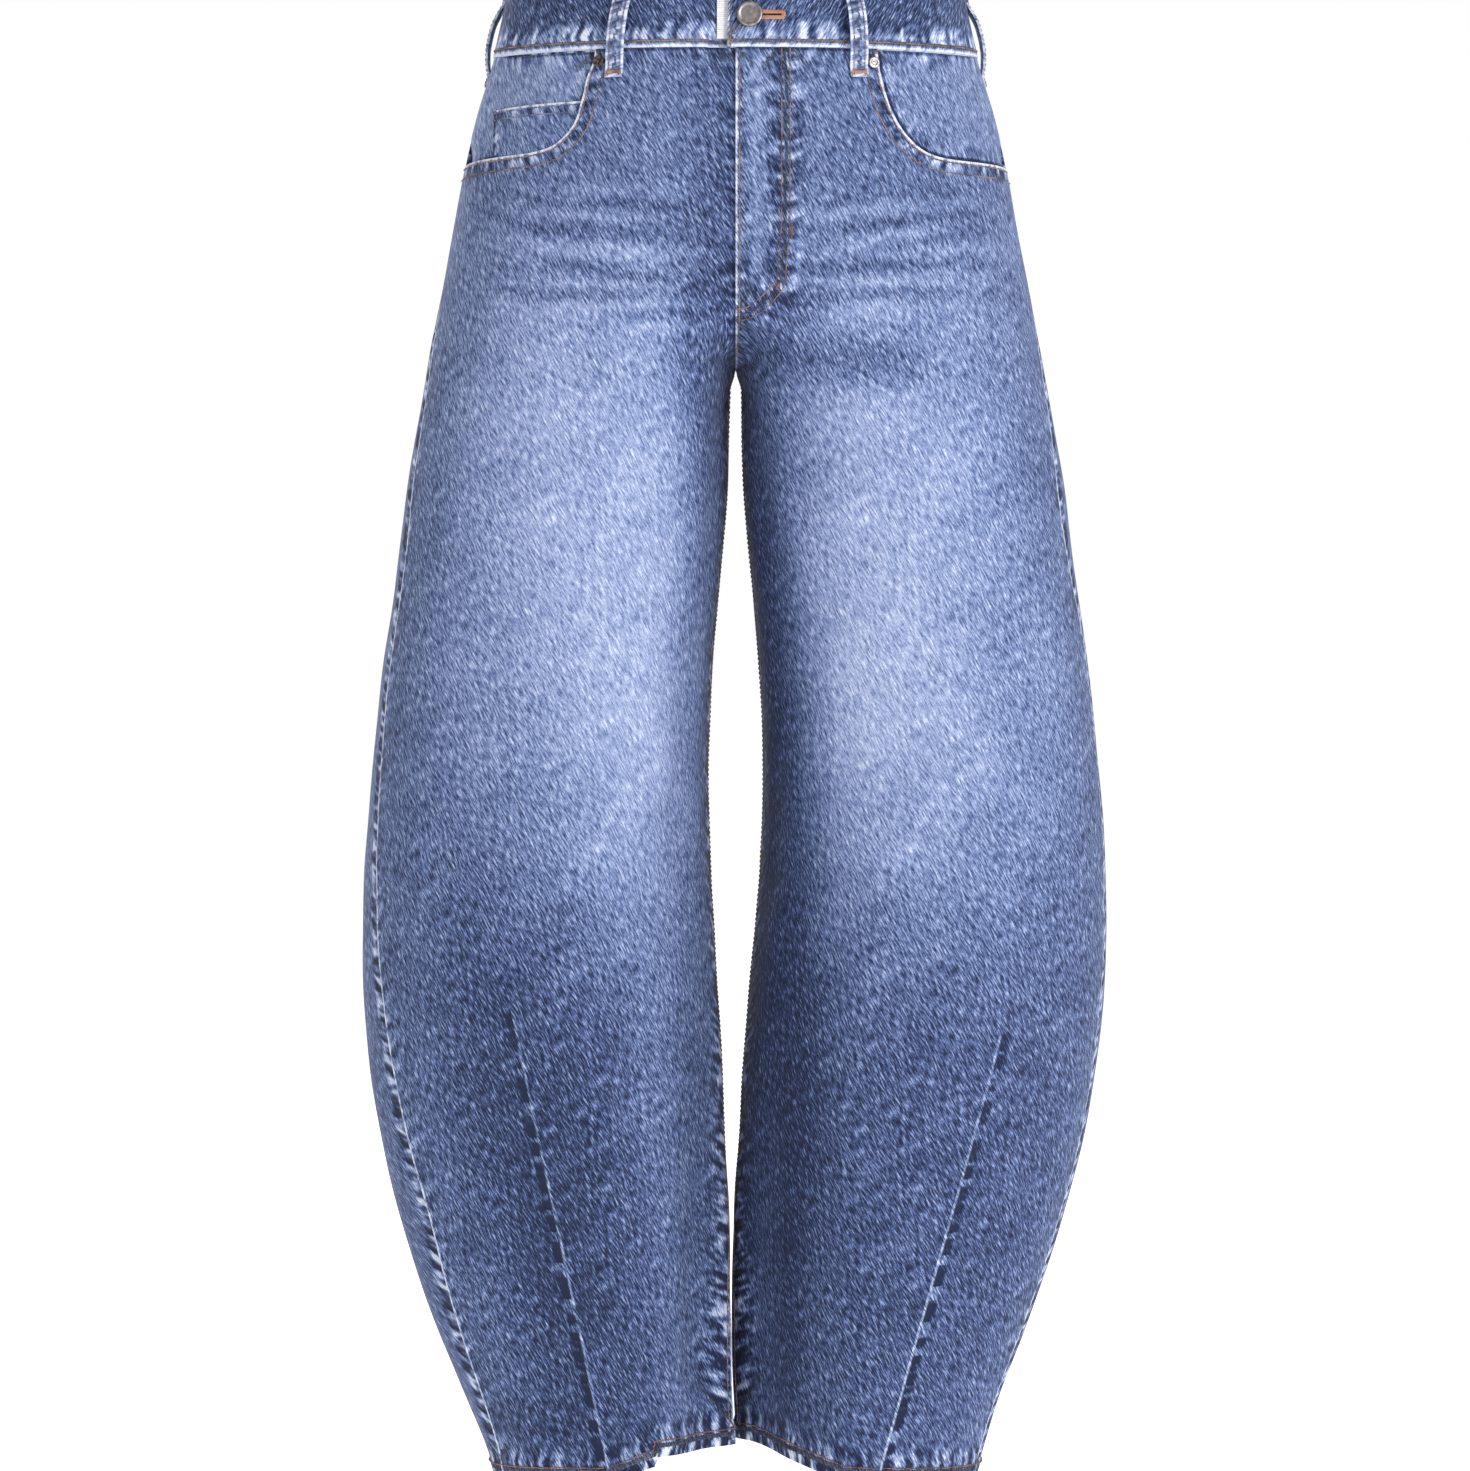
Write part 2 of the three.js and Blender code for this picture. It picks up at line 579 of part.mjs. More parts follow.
// One half of the yoke, between the waistband and the back.
function yoke(side) {
  const rows = 3;
  return clothWall({
    side,
    rows,
    columns: BACK_COLUMNS,
    spread: (j, z) => backSpread(side, j, z),
    heights: (i, round) => lerp(waistSeam(round), yokeSeam(round), i / rows),
    lifts: (round, z, face) => (face === 0 ? 0 : -DENIM),
  });
}

// The pocket mouths in the front view: distance from the centre plane and height, from the waist seam
// down and out to the outseam.
const LEFT_MOUTH = [
  { x: 92, z: -20 },
  { x: 92, z: -47 },
  { x: 95, z: -63.5 },
  { x: 100.5, z: -81.5 },
  { x: 110.5, z: -98 },
  { x: 125, z: -109 },
  { x: 147.5, z: -112 },
  { x: 190, z: -110 },
];
const RIGHT_MOUTH = [
  { x: 91, z: -20 },
  { x: 91, z: -45.5 },
  { x: 96, z: -60.5 },
  { x: 99, z: -74 },
  { x: 104.5, z: -91 },
  { x: 116, z: -103 },
  { x: 129.5, z: -107.5 },
  { x: 150, z: -108.5 },
  { x: 190, z: -108.5 },
];

// The space above the mouth, to cut from the front panel. The outline is drawn in x and z and swept
// from behind the side plane to in front of the garment.
function mouthCutter(side) {
  const table = side === LEFT ? LEFT_MOUTH : RIGHT_MOUTH;
  const curve = new THREE.SplineCurve(table.map(({ x, z }) => new THREE.Vector2(side.sign * x, z)));
  const edge = curve.getPoints(24);
  const far = 260 * side.sign;
  edge.push(new THREE.Vector2(far, edge[24].y), new THREE.Vector2(far, edge[0].y));
  const cutter = new THREE.ExtrudeGeometry(new THREE.Shape(edge), { depth: 260, bevelEnabled: false });
  cutter.rotateX(Math.PI / 2);
  cutter.translate(0, 60, 0);
  return cutter;
}

// The denim facing seen inside the pocket mouth, from the waist seam to below the mouth. It lies behind
// the front, and behind the coin pocket on the right, and comes forward to the outseam above the mouth.
// Its columns are the front's own, from this one outward.
const FACING_COLUMN = 8;
function pocketFacing(side) {
  const rows = 6;
  const recess = DENIM + POCKET_RECESS + (side === RIGHT ? COIN_WALL + 1 : 0);
  return clothWall({
    side,
    rows,
    columns: FRONT_COLUMNS - FACING_COLUMN,
    spread: (j, z) => frontSpread(side, j + FACING_COLUMN, z),
    heights: (i, round) => lerp(waistSeam(round), MOUTH_END - FACING_TUCK, i / rows),
    lifts: (round, z, face) => {
      const forward = smooth(round, 0.84, 0.97) * smooth(z, MOUTH_END + 3, MOUTH_END + 22);
      return lerp(-recess, 0, forward) - (face === 0 ? 0 : DENIM);
    },
  });
}

// The coin pocket, between the right facing and the right front, with its top edge in view.
function coinPocket() {
  const rows = 5;
  const columns = 10;
  return clothWall({
    side: RIGHT,
    rows,
    columns,
    spread: (j, z) => {
      const from = roundAtX(RIGHT, COIN_RIGHT, z);
      return roundBetween(RIGHT, from, roundAtX(RIGHT, COIN_LEFT, z), j / columns, z);
    },
    heights: (i) => lerp(COIN_TOP, MOUTH_END - FACING_TUCK + 4, i / rows),
    lifts: (round, z, face) => -DENIM - POCKET_RECESS - (face === 0 ? 0 : COIN_WALL),
  });
}

// The fly facing behind the left front, and the shield behind the right front and the facing. Both
// narrow to the seam at their lower ends.
function flyStrip(side, from, to, back, wallDepth) {
  const rows = 10;
  const columns = 4;
  return clothWall({
    side,
    rows,
    columns,
    spread: (j, z) => {
      const share = Math.sqrt(1 - smooth(-z, 150, -FLY_BOTTOM) ** 2 * 0.96);
      const end = from + (to - from) * share;
      return roundAtX(side, lerp(from, end, j / columns), z);
    },
    heights: (i, round) => lerp(waistSeam(round), CROTCH + FRONT_CURVE - 2, i / rows),
    lifts: (round, z, face) => -back - (face === 0 ? 0 : wallDepth),
  });
}

// A plain patch pocket on a back, with a shallow point at its foot.
function backPocket(side) {
  const rows = 8;
  const columns = 12;
  const point = (i, j, face) => {
    const across = (2 * j) / columns - 1;
    const foot = POCKET_TOP - POCKET_HEIGHT + POCKET_POINT * Math.abs(across);
    const z = lerp(POCKET_TOP, foot, i / rows) - (POCKET_LEAN / 2) * (across - 1);
    const half = lerp(POCKET_WIDTH, POCKET_FOOT_WIDTH, i / rows) / 2;
    const round = roundAfter(side, roundAtBackX(side, POCKET_MIDDLE, z), across * half, z);
    return lifted(side, round, z, POCKET_STANDOFF + (face === 0 ? DENIM : 0));
  };
  return wall(rows, columns, point, side === RIGHT);
}

// The waistband, one strip from the underlapping right end round the back to the overlapping left end.
function waistband() {
  const rows = 3;
  const perSide = 34;
  const level = -BAND_HEIGHT / 2;
  const stations = [];
  const overEnd = roundAtX(LEFT, BAND_END, level);
  const under = [BAND_UNDERLAP, 12, TAB_LEFT - 1, TAB_LEFT - 10].map((x) => roundAtX(RIGHT, x, level));
  for (const round of under.slice(0, 3)) stations.push({ side: RIGHT, round });
  for (let k = 0; k <= perSide; k += 1) {
    stations.push({ side: RIGHT, round: roundBetween(RIGHT, under[3], 2, k / perSide, level) });
  }
  for (let k = 1; k <= perSide; k += 1) {
    stations.push({ side: LEFT, round: roundBetween(LEFT, 2, overEnd, k / perSide, level) });
  }
  const point = (i, j, face) => {
    const { side, round } = stations[j];
    const z = waistRise(round) - (i / rows) * BAND_HEIGHT;
    const x = formPoint(side, round, z).x;
    const isUnder = side === RIGHT && Math.abs(round) < 1;
    const overStep = side === LEFT && round < 1 ? FLY_PROUD * smooth(-x, -26, -9) : 0;
    const step = isUnder ? -BAND_BACK * smooth(x, TAB_LEFT - 9, TAB_LEFT - 1.5) : overStep;
    return lifted(side, round, z, BAND_PROUD + step - (face === 0 ? 0 : BAND_WALL));
  };
  return wall(rows, stations.length - 1, point, true);
}

// A frame on the cloth at a place: u runs to the image's right, v up and w outward.
function clothFrame(side, round, z, lift) {
  const w = outward(formPoint, side, round, z);
  const u = new THREE.Vector3(0, 0, 1).cross(w).normalize();
  const v = w.clone().cross(u);
  const matrix = new THREE.Matrix4().makeBasis(u, v, w);
  return matrix.setPosition(lifted(side, round, z, lift));
}

// The keyhole slot through the overlapping end of the waistband.
function buttonholeCutter() {
  const length = HOLE_END - BUTTON_X;
  const slot = new THREE.BoxGeometry(length, HOLE_WIDTH, 6).translate(length / 2, 0, 0);
  const eye = new THREE.CylinderGeometry(SHANK_RADIUS + 0.6, SHANK_RADIUS + 0.6, 6, 20).rotateX(Math.PI / 2);
  const cutter = solidOf(slot).add(solidOf(eye));
  const frame = clothFrame(LEFT, roundAtX(LEFT, BUTTON_X, BUTTON_Z), BUTTON_Z, 0.6);
  return geometryOf(cutter).applyMatrix4(frame);
}

// The tack button: a cap with a raised rim and a plain dished middle, on a shank that passes through the
// buttonhole. The profile is radius and height above the cloth's form.
const BUTTON_PROFILE = [
  { r: 0, h: -3 },
  { r: SHANK_RADIUS, h: -3 },
  { r: SHANK_RADIUS, h: 1.9 },
  { r: BUTTON_RADIUS - 1, h: 1.9 },
  { r: BUTTON_RADIUS, h: 2.6 },
  { r: BUTTON_RADIUS, h: 3.3 },
  { r: BUTTON_RADIUS - 0.7, h: 4.1 },
  { r: BUTTON_RADIUS - 1.8, h: 4.2 },
  { r: BUTTON_RADIUS - 2.5, h: 3.7 },
  { r: 3, h: 3.9 },
  { r: 0, h: 4 },
];
const RIVET_PROFILE = [
  { r: 0, h: SEAM_GAP },
  { r: RIVET_RADIUS, h: SEAM_GAP },
  { r: RIVET_RADIUS, h: 0.8 },
  { r: RIVET_RADIUS - 0.8, h: 1.5 },
  { r: RIVET_RADIUS - 1.6, h: 1.5 },
  { r: RIVET_RADIUS - 2.1, h: 1 },
  { r: 0.8, h: 1.2 },
  { r: 0, h: 1.3 },
];
function turned(profile, segments, frame) {
  const points = profile.map(({ r, h }) => new THREE.Vector2(r, h));
  const geometry = new THREE.LatheGeometry(points, segments).rotateX(Math.PI / 2);
  return geometryOf(solidOf(geometry)).applyMatrix4(frame);
}

// The rivets stand at the upper corners of the pocket mouths.
const RIVETS = [
  { side: LEFT, x: 89, z: -51 },
  { side: RIGHT, x: -88.3, z: -50 },
];

// The belt loops: the way round, or the front view's x at the top and foot.
const LOOPS = [
  { name: "front_left", side: LEFT, top: 75, foot: 79.5 },
  { name: "front_right", side: RIGHT, top: -71, foot: -78.5 },
  { name: "side_left", side: LEFT, round: 1.03 },
  { name: "side_right", side: RIGHT, round: 1.03 },
  { name: "back", side: LEFT, round: 2 },
];

// The heights of a loop above the cloth's form, from its top to its foot.
const LOOP_PATH = [
  { down: 0, off: 0.5 + BAND_PROUD },
  { down: 0.1, off: 0.5 + BAND_PROUD },
  { down: 0.2, off: BAND_PROUD + LOOP_BOW * 0.55 },
  { down: 0.35, off: BAND_PROUD + LOOP_BOW },
  { down: 0.6, off: BAND_PROUD + LOOP_BOW },
  { down: 0.78, off: BAND_PROUD + LOOP_BOW * 0.5 },
  { down: 0.88, off: 0.7 },
  { down: 1, off: 0.5 },
];

// A loop: a narrow folded strip, standing off the waistband between its two ends.
function beltLoop(loop) {
  const middle = (down) => {
    const near = loop.round ?? roundAtX(loop.side, loop.top, 0);
    const z = waistRise(near) - 0.5 - down * LOOP_LENGTH;
    if (loop.round) return { round: loop.round, z };
    return { round: roundAtX(loop.side, lerp(loop.top, loop.foot, down), z), z };
  };
  const columns = 2;
  const point = (i, j, face) => {
    const { down, off } = LOOP_PATH[i];
    const { round, z } = middle(down);
    const frame = clothFrame(loop.side, Math.min(round, 1.999), z, 0);
    const across = (j / columns - 0.5) * LOOP_WIDTH;
    return new THREE.Vector3(across, 0, off + (face === 0 ? LOOP_WALL : 0)).applyMatrix4(frame);
  };
  return wall(LOOP_PATH.length - 1, columns, point, false);
}

// The blank tab between the two ends of the waistband.
function tab() {
  const point = (i, j, face) => {
    const x = j === 0 ? TAB_LEFT : TAB_RIGHT;
    const z = i === 0 ? TAB_TOP : TAB_BOTTOM;
    const round = roundAtX(LEFT, x, z);
    const outer = BAND_PROUD + FLY_PROUD - BAND_WALL - SEAM_GAP;
    return lifted(LEFT, round, z, outer - (face === 0 ? 0 : TAB_WALL));
  };
  return wall(1, 1, point, false);
}

const group = new THREE.Group();

function add(name, geometry, material) {
  const mesh = new THREE.Mesh(geometry, material);
  mesh.name = name;
  group.add(mesh);
}

const denim = new THREE.MeshStandardMaterial({ color: 0x5a70a0, roughness: 0.9, metalness: 0 });
const pewter = new THREE.MeshStandardMaterial({ color: 0x8c8880, roughness: 0.4, metalness: 1 });
const ribbon = new THREE.MeshStandardMaterial({ color: 0xd8cdb4, roughness: 0.9, metalness: 0 });

for (const side of [LEFT, RIGHT]) {
  const front = solidOf(frontPanel(side)).subtract(solidOf(mouthCutter(side)));
  add(`front_${side.name}`, geometryOf(front), denim);
  add(`back_${side.name}`, backPanel(side), denim);
  add(`yoke_${side.name}`, yoke(side), denim);
  add(`pocket_facing_${side.name}`, pocketFacing(side), denim);
  add(`back_pocket_${side.name}`, backPocket(side), denim);
}
add("coin_pocket", coinPocket(), denim);
add("fly_facing", flyStrip(LEFT, FACING_FROM, FACING_TO, DENIM + 0.5, FACING_WALL), denim);
add("fly_shield", flyStrip(LEFT, SHIELD_FROM, FACING_TO, SHIELD_BACK, FACING_WALL), denim);
add("waistband", geometryOf(solidOf(waistband()).subtract(solidOf(buttonholeCutter()))), denim);
for (const loop of LOOPS) add(`belt_loop_${loop.name}`, beltLoop(loop), denim);
const buttonFrame = clothFrame(LEFT, roundAtX(LEFT, BUTTON_X, BUTTON_Z), BUTTON_Z, 0);
add("button", turned(BUTTON_PROFILE, 28, buttonFrame), pewter);
for (const { side, x, z } of RIVETS) {
  const frame = clothFrame(side, roundAtX(side, x, z), z, 0.3);
  add(`rivet_${side.name}`, turned(RIVET_PROFILE, 20, frame), pewter);
}
add("tab", tab(), ribbon);

export default group;
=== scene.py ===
# Barrel leg trousers in blue stone washed denim, filled out as when worn, with nobody in them.
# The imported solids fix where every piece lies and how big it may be.
import math
from types import SimpleNamespace

import bpy
import numpy as np
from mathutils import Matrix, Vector
from mathutils.kdtree import KDTree


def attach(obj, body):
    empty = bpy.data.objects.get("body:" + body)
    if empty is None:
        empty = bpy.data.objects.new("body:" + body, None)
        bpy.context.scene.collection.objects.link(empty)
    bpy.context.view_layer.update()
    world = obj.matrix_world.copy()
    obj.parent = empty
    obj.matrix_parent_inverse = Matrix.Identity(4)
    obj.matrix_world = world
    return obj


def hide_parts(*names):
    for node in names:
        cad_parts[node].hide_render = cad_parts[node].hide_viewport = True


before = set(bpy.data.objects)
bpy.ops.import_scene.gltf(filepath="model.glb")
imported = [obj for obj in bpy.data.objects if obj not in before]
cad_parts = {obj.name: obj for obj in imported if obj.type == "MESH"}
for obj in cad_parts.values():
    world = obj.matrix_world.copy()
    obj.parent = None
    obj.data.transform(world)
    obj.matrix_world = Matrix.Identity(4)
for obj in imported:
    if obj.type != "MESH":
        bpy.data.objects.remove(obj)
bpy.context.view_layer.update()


# Fronts. Two panels of heavy denim, wide at the knee and narrow at the hem, which with the backs make
# the barrel leg. The pattern is in millimetres. A place on a half is a way round (0 centre front or
# inseam, 1 outermost, 2 centre back or inseam, below 0 across the centre front) and a height.
DENIM = 1.5
SEAM_GAP = 0.3
BAND_HEIGHT = 42
BAND_MIDDLE = -21.0
WAIST_GAP = 0.45
HEM_HEIGHT = 13
HEM_EXTRA = 0.8
HEM_STEP = 1.6
CROTCH = -243
FRONT_CURVE = 50
BACK_CURVE = 115
CROTCH_FADE = 70
LEG_GAP = 3.6
LEG_GAP_HEIGHT = 10
HEM_INSEAM = -953
HEM_DROP = 22
HEM_BLEND = -880
HIP_BLEND = -120
WAIST_RISE = 18
YOKE_SIDE = -66
YOKE_MIDDLE = -96
CENTRE_OFFSET = 0.2
BACK_SQUARE = 2.2

# Height, half width at the outseam, extra gap at the inseam, depth forward and back, how square the
# outer side is, and the sway of the hanging legs.
SECTIONS = [
    (30, 148, 0, 88, 90, 2.05, 0),
    (0, 152.5, 0, 92, 93, 2.05, 0),
    (-42, 162, 0, 98, 104, 2.1, 0),
    (-75, 172, 0, 103, 114, 2.1, 0),
    (-115, 181, 0, 107, 123, 2.15, 0),
    (-155, 188.3, 0, 110, 129, 2.2, 0),
    (-195, 195.5, 0, 112, 130, 2.2, 0),
    (-243, 204.5, 0, 112, 123, 2.2, 0),
    (-315, 216.8, 1.4, 111, 112, 2.2, 0),
    (-355, 222, 4.4, 111, 107, 2.2, 0),
    (-395, 227.2, 8, 112, 104, 2.2, 0),
    (-435, 233, 11.6, 114, 102, 2.2, 0),
    (-475, 237.6, 13.8, 116, 102, 2.2, 0),
    (-515, 241.4, 14.4, 118, 103, 2.2, 0),
    (-555, 244.4, 13.6, 119, 104, 2.2, 0),
    (-595, 246.4, 11.2, 119, 105, 2.2, -0.5),
    (-635, 246.4, 8.2, 117, 105, 2.2, -1),
    (-675, 244, 5.4, 114, 104, 2.2, -1.5),
    (-715, 239.6, 2.6, 109, 102, 2.2, -2),
    (-755, 232.2, 0.6, 104, 99, 2.2, -2.4),
    (-795, 222.4, -2.1, 97, 95, 2.2, -2.7),
    (-835, 210.6, -3.2, 90, 90, 2.2, -3),
    (-875, 196.2, -3.5, 83, 84, 2.2, -3),
    (-915, 180.2, -3.5, 77, 78, 2.2, -2.2),
    (-955, 165.6, -3.5, 73, 73, 2.2, -0.4),
    (-990, 155, -3.5, 71, 70, 2.2, 0),
]

# What differs between the legs: height, where across the leg the front stands furthest forward, how
# full the cloth is inside that crest, how far the outseam has come forward, and how far back the
# inseam lies.
LEFT_LEG = [
    (30, 0.1, 2.05, 0, -12),
    (-75, 0.16, 2.05, 0, -12),
    (-155, 0.3, 2.1, 0.01, -12),
    (-243, 0.47, 2.2, 0.08, -12),
    (-335, 0.5, 2.2, 0.12, -4),
    (-435, 0.5, 2.1, 0.07, 0),
    (-555, 0.5, 2.05, 0.075, 2),
    (-675, 0.49, 1.9, 0.09, 4),
    (-795, 0.47, 1.6, 0.095, 8),
    (-875, 0.45, 1.38, 0.1, 11),
    (-990, 0.43, 1.2, 0.1, 12),
]
RIGHT_LEG = [
    (30, 0.1, 2.05, 0, -12),
    (-75, 0.16, 2.05, 0, -12),
    (-155, 0.3, 2.1, 0.02, -12),
    (-243, 0.46, 2.2, 0.09, -12),
    (-375, 0.46, 2.15, 0.117, -4),
    (-475, 0.44, 2.05, 0.115, -2),
    (-565, 0.42, 1.95, 0.135, -4),
    (-675, 0.4, 1.75, 0.17, -7),
    (-795, 0.36, 1.45, 0.196, -11),
    (-875, 0.34, 1.25, 0.18, -14),
    (-935, 0.33, 1.15, 0.155, -16),
    (-990, 0.32, 1.12, 0.12, -16),
]

# The main folds of both legs, as in the solids, then the softer creases of worn denim: way round,
# height, half width round the leg, half height, outward height in millimetres (below 0 is a trough),
# and lean round the leg per 100 mm of height.
LEFT_FOLDS = [
    (0.16, -890, 0.1, 130, -6, 0),
    (0.36, -700, 0.08, 150, 4, 0.01),
    (1.62, -300, 0.12, 26, -5, 0.12),
    (1.5, -560, 0.2, 30, -5, 0.1),
    (1.42, -860, 0.09, 140, -5, 0.02),
    (0.3, -252, 0.2, 9, 0.9, 0.6),
    (0.34, -232, 0.24, 9, -0.8, 0.7),
    (0.42, -205, 0.22, 10, 0.9, 0.7),
    (0.46, -184, 0.2, 10, -0.8, 0.7),
    (0.6, -158, 0.16, 9, 0.7, 0.6),
    (0.13, -300, 0.05, 60, -2.2, 0.05),
    (0.22, -330, 0.05, 80, 1.8, 0.06),
    (0.14, -520, 0.06, 90, -2.4, -0.03),
    (0.3, -575, 0.26, 12, -1.6, -0.5),
    (0.62, -560, 0.2, 14, 1.4, 0.4),
    (0.34, -640, 0.06, 70, -2.4, 0.02),
    (0.55, -700, 0.06, 120, 1.8, 0.0),
    (0.25, -780, 0.05, 120, 2.2, 0.0),
    (0.46, -830, 0.05, 110, -1.8, 0.02),
    (0.7, -800, 0.07, 100, -1.4, -0.02),
    (1.3, -230, 0.2, 9, 1.6, -0.6),
    (1.55, -262, 0.2, 8, 1.8, -0.7),
    (1.5, -330, 0.16, 10, 1.8, 0.5),
    (1.4, -470, 0.07, 90, -2, 0.02),
    (1.5, -590, 0.24, 12, 2.4, 0.3),
    (1.45, -640, 0.2, 12, -2, -0.3),
    (1.6, -700, 0.07, 120, 2.4, 0),
    (1.25, -760, 0.07, 120, -2, 0),
]
RIGHT_FOLDS = [
    (0.62, -860, 0.05, 110, -4, 0.02),
    (0.2, -890, 0.1, 150, -7, 0),
    (1.62, -300, 0.12, 26, -5, 0.12),
    (1.46, -575, 0.2, 30, -5, -0.1),
    (1.55, -850, 0.09, 140, -5, -0.02),
    (0.26, -258, 0.18, 9, 0.9, 0.6),
    (0.32, -238, 0.22, 9, -0.8, 0.7),
    (0.4, -212, 0.24, 10, 0.9, 0.7),
    (0.45, -190, 0.2, 10, -0.8, 0.7),
    (0.62, -165, 0.14, 9, 0.7, 0.6),
    (0.12, -310, 0.05, 70, -2.2, 0.05),
    (0.2, -350, 0.05, 90, 1.6, 0.04),
    (0.2, -540, 0.06, 80, -2.0, 0.03),
    (0.4, -590, 0.26, 12, -1.6, 0.4),
    (0.7, -570, 0.18, 14, 1.4, -0.4),
    (0.36, -690, 0.05, 90, -2.2, 0.02),
    (0.28, -770, 0.05, 130, 2.0, 0.01),
    (0.5, -780, 0.06, 130, 1.8, -0.02),
    (0.42, -850, 0.05, 110, -2.2, 0.0),
    (1.3, -225, 0.2, 9, 1.6, -0.5),
    (1.5, -258, 0.2, 8, 1.8, -0.7),
    (1.52, -322, 0.16, 10, 1.8, 0.5),
    (1.35, -450, 0.07, 90, -2, 0.02),
    (1.5, -600, 0.24, 12, 2.4, -0.3),
    (1.42, -655, 0.2, 12, -2, 0.3),
    (1.62, -720, 0.07, 120, 2.4, 0),
    (1.3, -790, 0.07, 120, -2, 0),
]


def lerp(a, b, t):
    return a + (b - a) * t


def smooth(value, low, high):
    t = np.clip((value - low) / (high - low), 0, 1)
    return t * t * (3 - 2 * t)


def table_curve(rows, column):
    """One column of a table by height, on a smooth curve through its rows."""
    heights = np.array([row[0] for row in rows], float)
    values = np.array([row[column] for row in rows], float)
    before = np.maximum(np.arange(len(rows)) - 1, 0)
    after = np.minimum(np.arange(len(rows)) + 1, len(rows) - 1)
    slopes = (values[after] - values[before]) / (heights[after] - heights[before])

    def at(z):
        i = np.clip(np.searchsorted(-heights, -z, side="right") - 1, 0, len(rows) - 2)
        step = heights[i + 1] - heights[i]
        t = np.clip((z - heights[i]) / step, 0, 1)
        rise = values[i + 1] - values[i]
        start = slopes[i] * step
        end = slopes[i + 1] * step
        return values[i] + t * (start + t * (3 * rise - 2 * start - end + t * (start + end - 2 * rise)))

    return at


def trouser_half(name, sign, rows, folds, hem_from, hem_to):
    half = SimpleNamespace(name=name, sign=sign, folds=folds, hem_from=hem_from, hem_to=hem_to)
    half.crest = table_curve(rows, 1)
    half.full = table_curve(rows, 2)
    half.forward = table_curve(rows, 3)
    half.inseam = table_curve(rows, 4)
    return half


LEFT = trouser_half("left", 1, LEFT_LEG, LEFT_FOLDS, 0.1, 0.58)
RIGHT = trouser_half("right", -1, RIGHT_LEG, RIGHT_FOLDS, 0.44, 0.6)
OUT, INN, FRONT, BACK, SQUARE, SWAY = (table_curve(SECTIONS, column) for column in range(1, 7))


def quarter(share, power):
    """A quarter turn of a rounded corner: how far along and how far across."""
    angle = np.clip(share, 0, 1) * math.pi / 2
    return np.maximum(np.cos(angle), 0) ** (2 / power), np.sin(angle) ** (2 / power)


def form(half, turn, z):
    """The plain form of one half, before folds."""
    turn, z = np.broadcast_arrays(np.asarray(turn, float), np.asarray(z, float))
    outer = OUT(z)
    is_front = turn < 1
    place = np.where(is_front, np.abs(turn), 2 - turn)
    opened = smooth(CROTCH - z, 0, LEG_GAP_HEIGHT + 160 * np.maximum(place, 0))
    middle = CENTRE_OFFSET + INN(z)
    inner = middle + LEG_GAP * opened
    depth = np.where(is_front, -FRONT(z), BACK(z))
    share = half.crest(z)
    share = np.where(is_front, share, lerp(share, 0.5, smooth(-z, 0, 243)))
    crest = middle + share * (outer - middle)
    height = np.where(is_front, FRONT_CURVE, BACK_CURVE)
    fallen = np.clip((CROTCH + height - z) / height, 0, 1)
    at_seam = 1 - np.sqrt(1 - fallen * fallen)
    away = smooth(CROTCH + height * 1.1 - z, 0, height * 1.1 + CROTCH_FADE)
    under = lerp(at_seam, away, smooth(place, 0, 0.24))
    toward, across = quarter(2 * (1 - place), SQUARE(z))
    outer_x = crest + (outer - crest) * toward
    outer_y = depth * across
    toward, across = quarter(2 * place, np.where(is_front, half.full(z), BACK_SQUARE))
    leg_x = crest - (crest - inner) * toward
    leg_y = half.inseam(z) + (depth - half.inseam(z)) * across
    inner_x = lerp(lerp(CENTRE_OFFSET, crest, 2 * place), leg_x, under)
    inner_y = lerp(depth, leg_y, under)
    x = np.where(place > 0.5, outer_x, inner_x)
    y = np.where(place > 0.5, outer_y, inner_y)
    x = half.sign * np.where(turn < -1e-6, -x, x) + SWAY(z)
    return np.stack([x, y, z], axis=-1)


def outward(surface, half, turn, z):
    """Unit vectors out from a surface that is given by way round and height."""
    turn, z = np.broadcast_arrays(np.asarray(turn, float), np.asarray(z, float))
    low = np.where(z < CROTCH + FRONT_CURVE, 0.012, -1)
    high = np.where(z < CROTCH + BACK_CURVE, 1.988, 3)
    here = np.clip(turn, low, high)
    across = surface(half, here + 0.004, z) - surface(half, here - 0.004, z)
    upright = surface(half, here, z + 0.8) - surface(half, here, z - 0.8)
    direction = np.cross(across, upright) * half.sign
    return direction / np.linalg.norm(direction, axis=-1, keepdims=True)


def fold_height(half, turn, z):
    """How far the folds, and the slight unevenness of worn cloth, push it out."""
    height = np.zeros(np.broadcast(turn, z).shape)
    for at, level, wide, tall, out, lean in half.folds:
        across = (turn - at - lean * (level - z) / 100) / wide
        height += out * np.exp(-across * across - ((z - level) / tall) ** 2)
    phase = 1.3 * half.sign
    uneven = np.sin(turn * 21 + z / 31 + phase) * np.sin(z / 43 - turn * 9 + phase)
    uneven += 0.7 * np.sin(turn * 37 - z / 19 - phase) * np.sin(z / 27 + turn * 14)
    return height + 0.35 * uneven * smooth(-z, 60, 150)


def cloth(half, turn, z):
    """The cloth's outer face."""
    height = fold_height(half, turn, z)[..., None]
    return form(half, turn, z) + outward(form, half, turn, z) * height


def lifted(half, turn, z, lift):
    """Points at a distance out from the cloth's outer face."""
    return cloth(half, turn, z) + outward(cloth, half, turn, z) * np.asarray(lift, float)[..., None]


